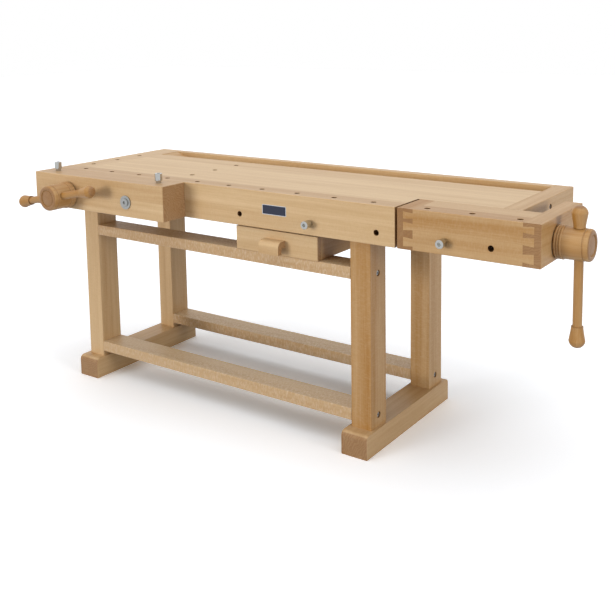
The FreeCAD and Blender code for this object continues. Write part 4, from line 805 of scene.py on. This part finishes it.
class BENCH_OT_screws(bpy.types.Operator):
    """Drives the wood screws that hold nuts, blocks, rails and the pull"""
    bl_idname = "bench.screws"
    bl_label = "Wood screws"

    def execute(self, context):
        head = context.scene.bench_sizes.screw_head
        for body, rows in WOOD_SCREWS.items():
            places = [spot for row in rows for spot in self.spots(*row)]
            made = set_copies(self.pan_head(head), places, body + "_wood_screws")
            close_shape(made)
            finish_piece(made, body, stock("zinc_plated_steel"), "zinc_steel")
        return {"FINISHED"}

    def spots(self, node, facing, insets):
        """Points on one face of a node's box, with the way the heads face."""
        low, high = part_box(node)
        across = [i for i in range(3) if abs(facing[i]) < 0.5]
        face = next(i for i in range(3) if i not in across)
        found = []
        for inset in insets:
            point = low.copy()
            point[face] = high[face] if facing[face] > 0 else low[face]
            for i, value in zip(across, inset):
                point[i] += value * MM
            found.append((point, facing))
        return found

    def pan_head(self, head):
        """Domed head with a cross recess, standing proud on a short shank."""
        dome = [(SCREW_RISE * math.sin(a), head * math.cos(a) ** 0.6)
                for a in (0.25, 0.6, 0.95, 1.25, 1.45)]
        screw = turn_piece("screw", ORIGIN, UP,
                           [(-6 * MM, SCREW_SHANK), (-0.4 * MM, SCREW_SHANK), (-0.4 * MM, head),
                            (0.3 * MM, head), *dome], 24)
        for turn in (0.0, math.pi / 2):
            start_clean()
            bpy.ops.mesh.primitive_cube_add(size=1, location=(0, 0, SCREW_RISE),
                                            rotation=(0, 0, turn),
                                            scale=(head * 1.15, head * 0.26, 2.6 * MM))
            cut_away(screw, settle(bpy.context.object, "cutter"))
        return screw


class BENCH_OT_springs(bpy.types.Operator):
    """Bends the wire springs that hold the round dogs in their holes"""
    bl_idname = "bench.springs"
    bl_label = "Dog springs"

    def execute(self, context):
        for dog, axis in DOGS:
            start, _ = run_of(dog, axis)
            spring = self.ring(context.scene.bench_sizes.spring_wire / 2)
            spring.matrix_world = aimed(start + axis * SPRING_PLACE, axis)
            settle(spring, dog + "_spring")
            close_shape(spring)
            finish_piece(spring, dog, stock("polished_steel"), "bright_steel")
        return {"FINISHED"}

    def ring(self, wire):
        """Open ring of wire about Z, spun from its round section."""
        start_clean()
        bpy.ops.mesh.primitive_circle_add(vertices=12, radius=wire, fill_type="NGON",
                                          location=(SPRING_RADIUS, 0, 0),
                                          rotation=(math.pi / 2, 0, 0))
        obj = settle(bpy.context.object, "ring")
        bpy.ops.object.mode_set(mode="EDIT")
        bpy.ops.mesh.select_all(action="SELECT")
        bpy.ops.mesh.spin(steps=40, angle=SPRING_ARC, center=ORIGIN, axis=UP)
        bpy.ops.object.mode_set(mode="OBJECT")
        return obj


class BENCH_OT_plate(bpy.types.Operator):
    """Fixes the bare plate to the face of the apron"""
    bl_idname = "bench.plate"
    bl_label = "Bare plate"

    def execute(self, context):
        sizes = context.scene.bench_sizes
        face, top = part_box("front_apron")[0].y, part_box("front_apron")[1].z
        start_clean()
        bpy.ops.mesh.primitive_cube_add(
            size=1, location=(PLATE_PLACE, face - sizes.plate_thick / 2, top - PLATE_DROP),
            scale=(sizes.plate_width, sizes.plate_thick, sizes.plate_height))
        plate = settle(bpy.context.object, "apron_plate")
        bpy.ops.object.mode_set(mode="EDIT")
        bpy.ops.mesh.select_mode(type="EDGE")
        bpy.ops.mesh.select_all(action="DESELECT")
        for edge in bmesh.from_edit_mesh(plate.data).edges:
            run = edge.verts[0].co - edge.verts[1].co
            edge.select_set(abs(run.y) > abs(run.x) + abs(run.z))
        bpy.ops.mesh.bevel(offset=PLATE_CORNER, segments=4)
        bpy.ops.mesh.select_mode(type="FACE")
        bpy.ops.mesh.select_all(action="DESELECT")
        for side in bmesh.from_edit_mesh(plate.data).faces:
            side.select_set(side.normal.y < -0.9)
        bpy.ops.mesh.inset(thickness=RIM_WIDTH)
        bpy.ops.mesh.inset(thickness=0.3 * MM, depth=-RIM_HEIGHT)
        bpy.ops.object.mode_set(mode="OBJECT")
        finish_piece(plate, "bench", stock("plate_rim"), "zinc_steel")
        plate.data.materials.append(stock("plate_enamel"))
        front = [side for side in plate.data.polygons if side.normal.y < -0.9]
        max(front, key=lambda side: side.area).material_index = 1
        return {"FINISHED"}


class BENCH_OT_stage(bpy.types.Operator):
    """Lays the floor, lights the bench and sets the camera"""
    bl_idname = "bench.stage"
    bl_label = "Floor, light and camera"

    def execute(self, context):
        scene = context.scene
        start_clean()
        bpy.ops.mesh.primitive_plane_add(size=FLOOR_SIZE, location=ORIGIN)
        floor = settle(bpy.context.object, "studio_floor")
        wear(floor, self.floor_paper())
        self.surround(scene)
        for values in STAGE_LAMPS:
            self.lamp(scene, *values)
        self.camera(scene)
        scene.view_settings.view_transform = "Standard"
        return {"FINISHED"}

    def seen(self, tree, rays, *kinds):
        """1 for camera rays and rays of the named kinds, 0 for the rest."""
        found = rays.outputs["Is Camera Ray"]
        for kind in kinds:
            found = add(tree, "Math", [found, rays.outputs[kind]], operation="MAXIMUM")
        return found

    def floor_paper(self):
        """Matt white paper: a little over white to the eye, so that it stays white where the lamps
        fall off, its own white in metal, and greyer for the light it throws back."""
        material, tree = blank("studio_floor_paper")
        rays = add(tree, "LightPath")
        white = linear(bpy.context.scene.bench_colours.floor)
        plain = add(tree, "Mix", [rays.outputs["Is Glossy Ray"], shade(white, FLOOR_THROWN),
                                  shade(white, FLOOR_MIRRORED)], data_type="RGBA")
        seen = self.seen(tree, rays, "Is Transmission Ray")
        colour = add(tree, "Mix", [seen, plain, shade(white, FLOOR_SEEN)], data_type="RGBA")
        paper = add(tree, "BsdfDiffuse", {"Color": colour})
        add(tree, "OutputMaterial", [paper])
        return material

    def surround(self, scene):
        """White surround to the eye, in metal and through glass; a weak even fill to the rest."""
        scene.world = bpy.data.worlds.new("studio")
        scene.world.use_nodes = True
        tree = scene.world.node_tree
        tree.nodes.clear()
        seen = self.seen(tree, add(tree, "LightPath"), "Is Transmission Ray", "Is Glossy Ray")
        white = (1.0, 1.0, 1.0, 1.0)
        colour = add(tree, "Mix", [seen, shade(white, SURROUND_FILL), white], data_type="RGBA")
        back = add(tree, "Background", {"Color": colour, "Strength": 1.0})
        add(tree, "OutputWorld", [back])

    def lamp(self, scene, name, azimuth, elevation, spread, strength):
        """Broad soft sun; azimuth 0 shines from the front and 90 from the right."""
        data = bpy.data.lights.new(name, "SUN")
        data.energy, data.angle = strength, math.radians(spread)
        lamp = bpy.data.objects.new(name, data)
        lamp.visible_glossy = False
        side, lift = math.radians(azimuth), math.radians(elevation)
        toward = Vector((math.sin(side) * math.cos(lift), -math.cos(side) * math.cos(lift),
                         math.sin(lift)))
        lamp.rotation_euler = toward.to_track_quat("Z", "Y").to_euler()
        scene.collection.objects.link(lamp)

    def camera(self, scene):
        """View from the front right, a little above the worktop."""
        data = bpy.data.cameras.new("camera")
        data.sensor_width = FILM_WIDTH
        data.lens = FOCAL_LENGTH / IMAGE_WIDTH * FILM_WIDTH
        data.shift_x = (IMAGE_WIDTH / 2 - IMAGE_CENTRE) / IMAGE_WIDTH
        data.shift_y = CAMERA_SHIFT
        camera = bpy.data.objects.new("camera", data)
        turn = Matrix.Identity(3)
        for axis, angle in CAMERA_TURNS:
            turn = turn @ Matrix.Rotation(angle, 3, axis)
        camera.matrix_world = Matrix.Translation(CAMERA_PLACE) @ turn.to_4x4()
        scene.collection.objects.link(camera)
        scene.camera = camera


STEPS = (BENCH_OT_boards, BENCH_OT_metalwork, BENCH_OT_hubs, BENCH_OT_spindles,
         BENCH_OT_bolts, BENCH_OT_screws, BENCH_OT_springs, BENCH_OT_plate, BENCH_OT_stage)


class BENCH_PT_panel(bpy.types.Panel):
    """Lists the steps that dress the bench"""
    bl_idname = "BENCH_PT_panel"
    bl_label = "Workbench"
    bl_space_type = "VIEW_3D"
    bl_region_type = "UI"
    bl_category = "Workbench"

    def draw(self, context):
        for step in STEPS:
            self.layout.operator(step.bl_idname)


CLASSES = (BenchSizes, BenchColours, *STEPS, BENCH_PT_panel)


def register():
    """Registers the classes and their settings."""
    for made in CLASSES:
        bpy.utils.register_class(made)
    bpy.types.Scene.bench_sizes = bpy.props.PointerProperty(type=BenchSizes)
    bpy.types.Scene.bench_colours = bpy.props.PointerProperty(type=BenchColours)


def unregister():
    """Removes the settings and the classes."""
    del bpy.types.Scene.bench_colours
    del bpy.types.Scene.bench_sizes
    for made in reversed(CLASSES):
        bpy.utils.unregister_class(made)


def main():
    """Dresses the bench step by step."""
    register()
    bpy.ops.bench.boards()
    bpy.ops.bench.metalwork()
    bpy.ops.bench.hubs()
    bpy.ops.bench.spindles()
    bpy.ops.bench.bolts()
    bpy.ops.bench.screws()
    bpy.ops.bench.springs()
    bpy.ops.bench.plate()
    bpy.ops.bench.stage()


if __name__ == "__main__":
    main()
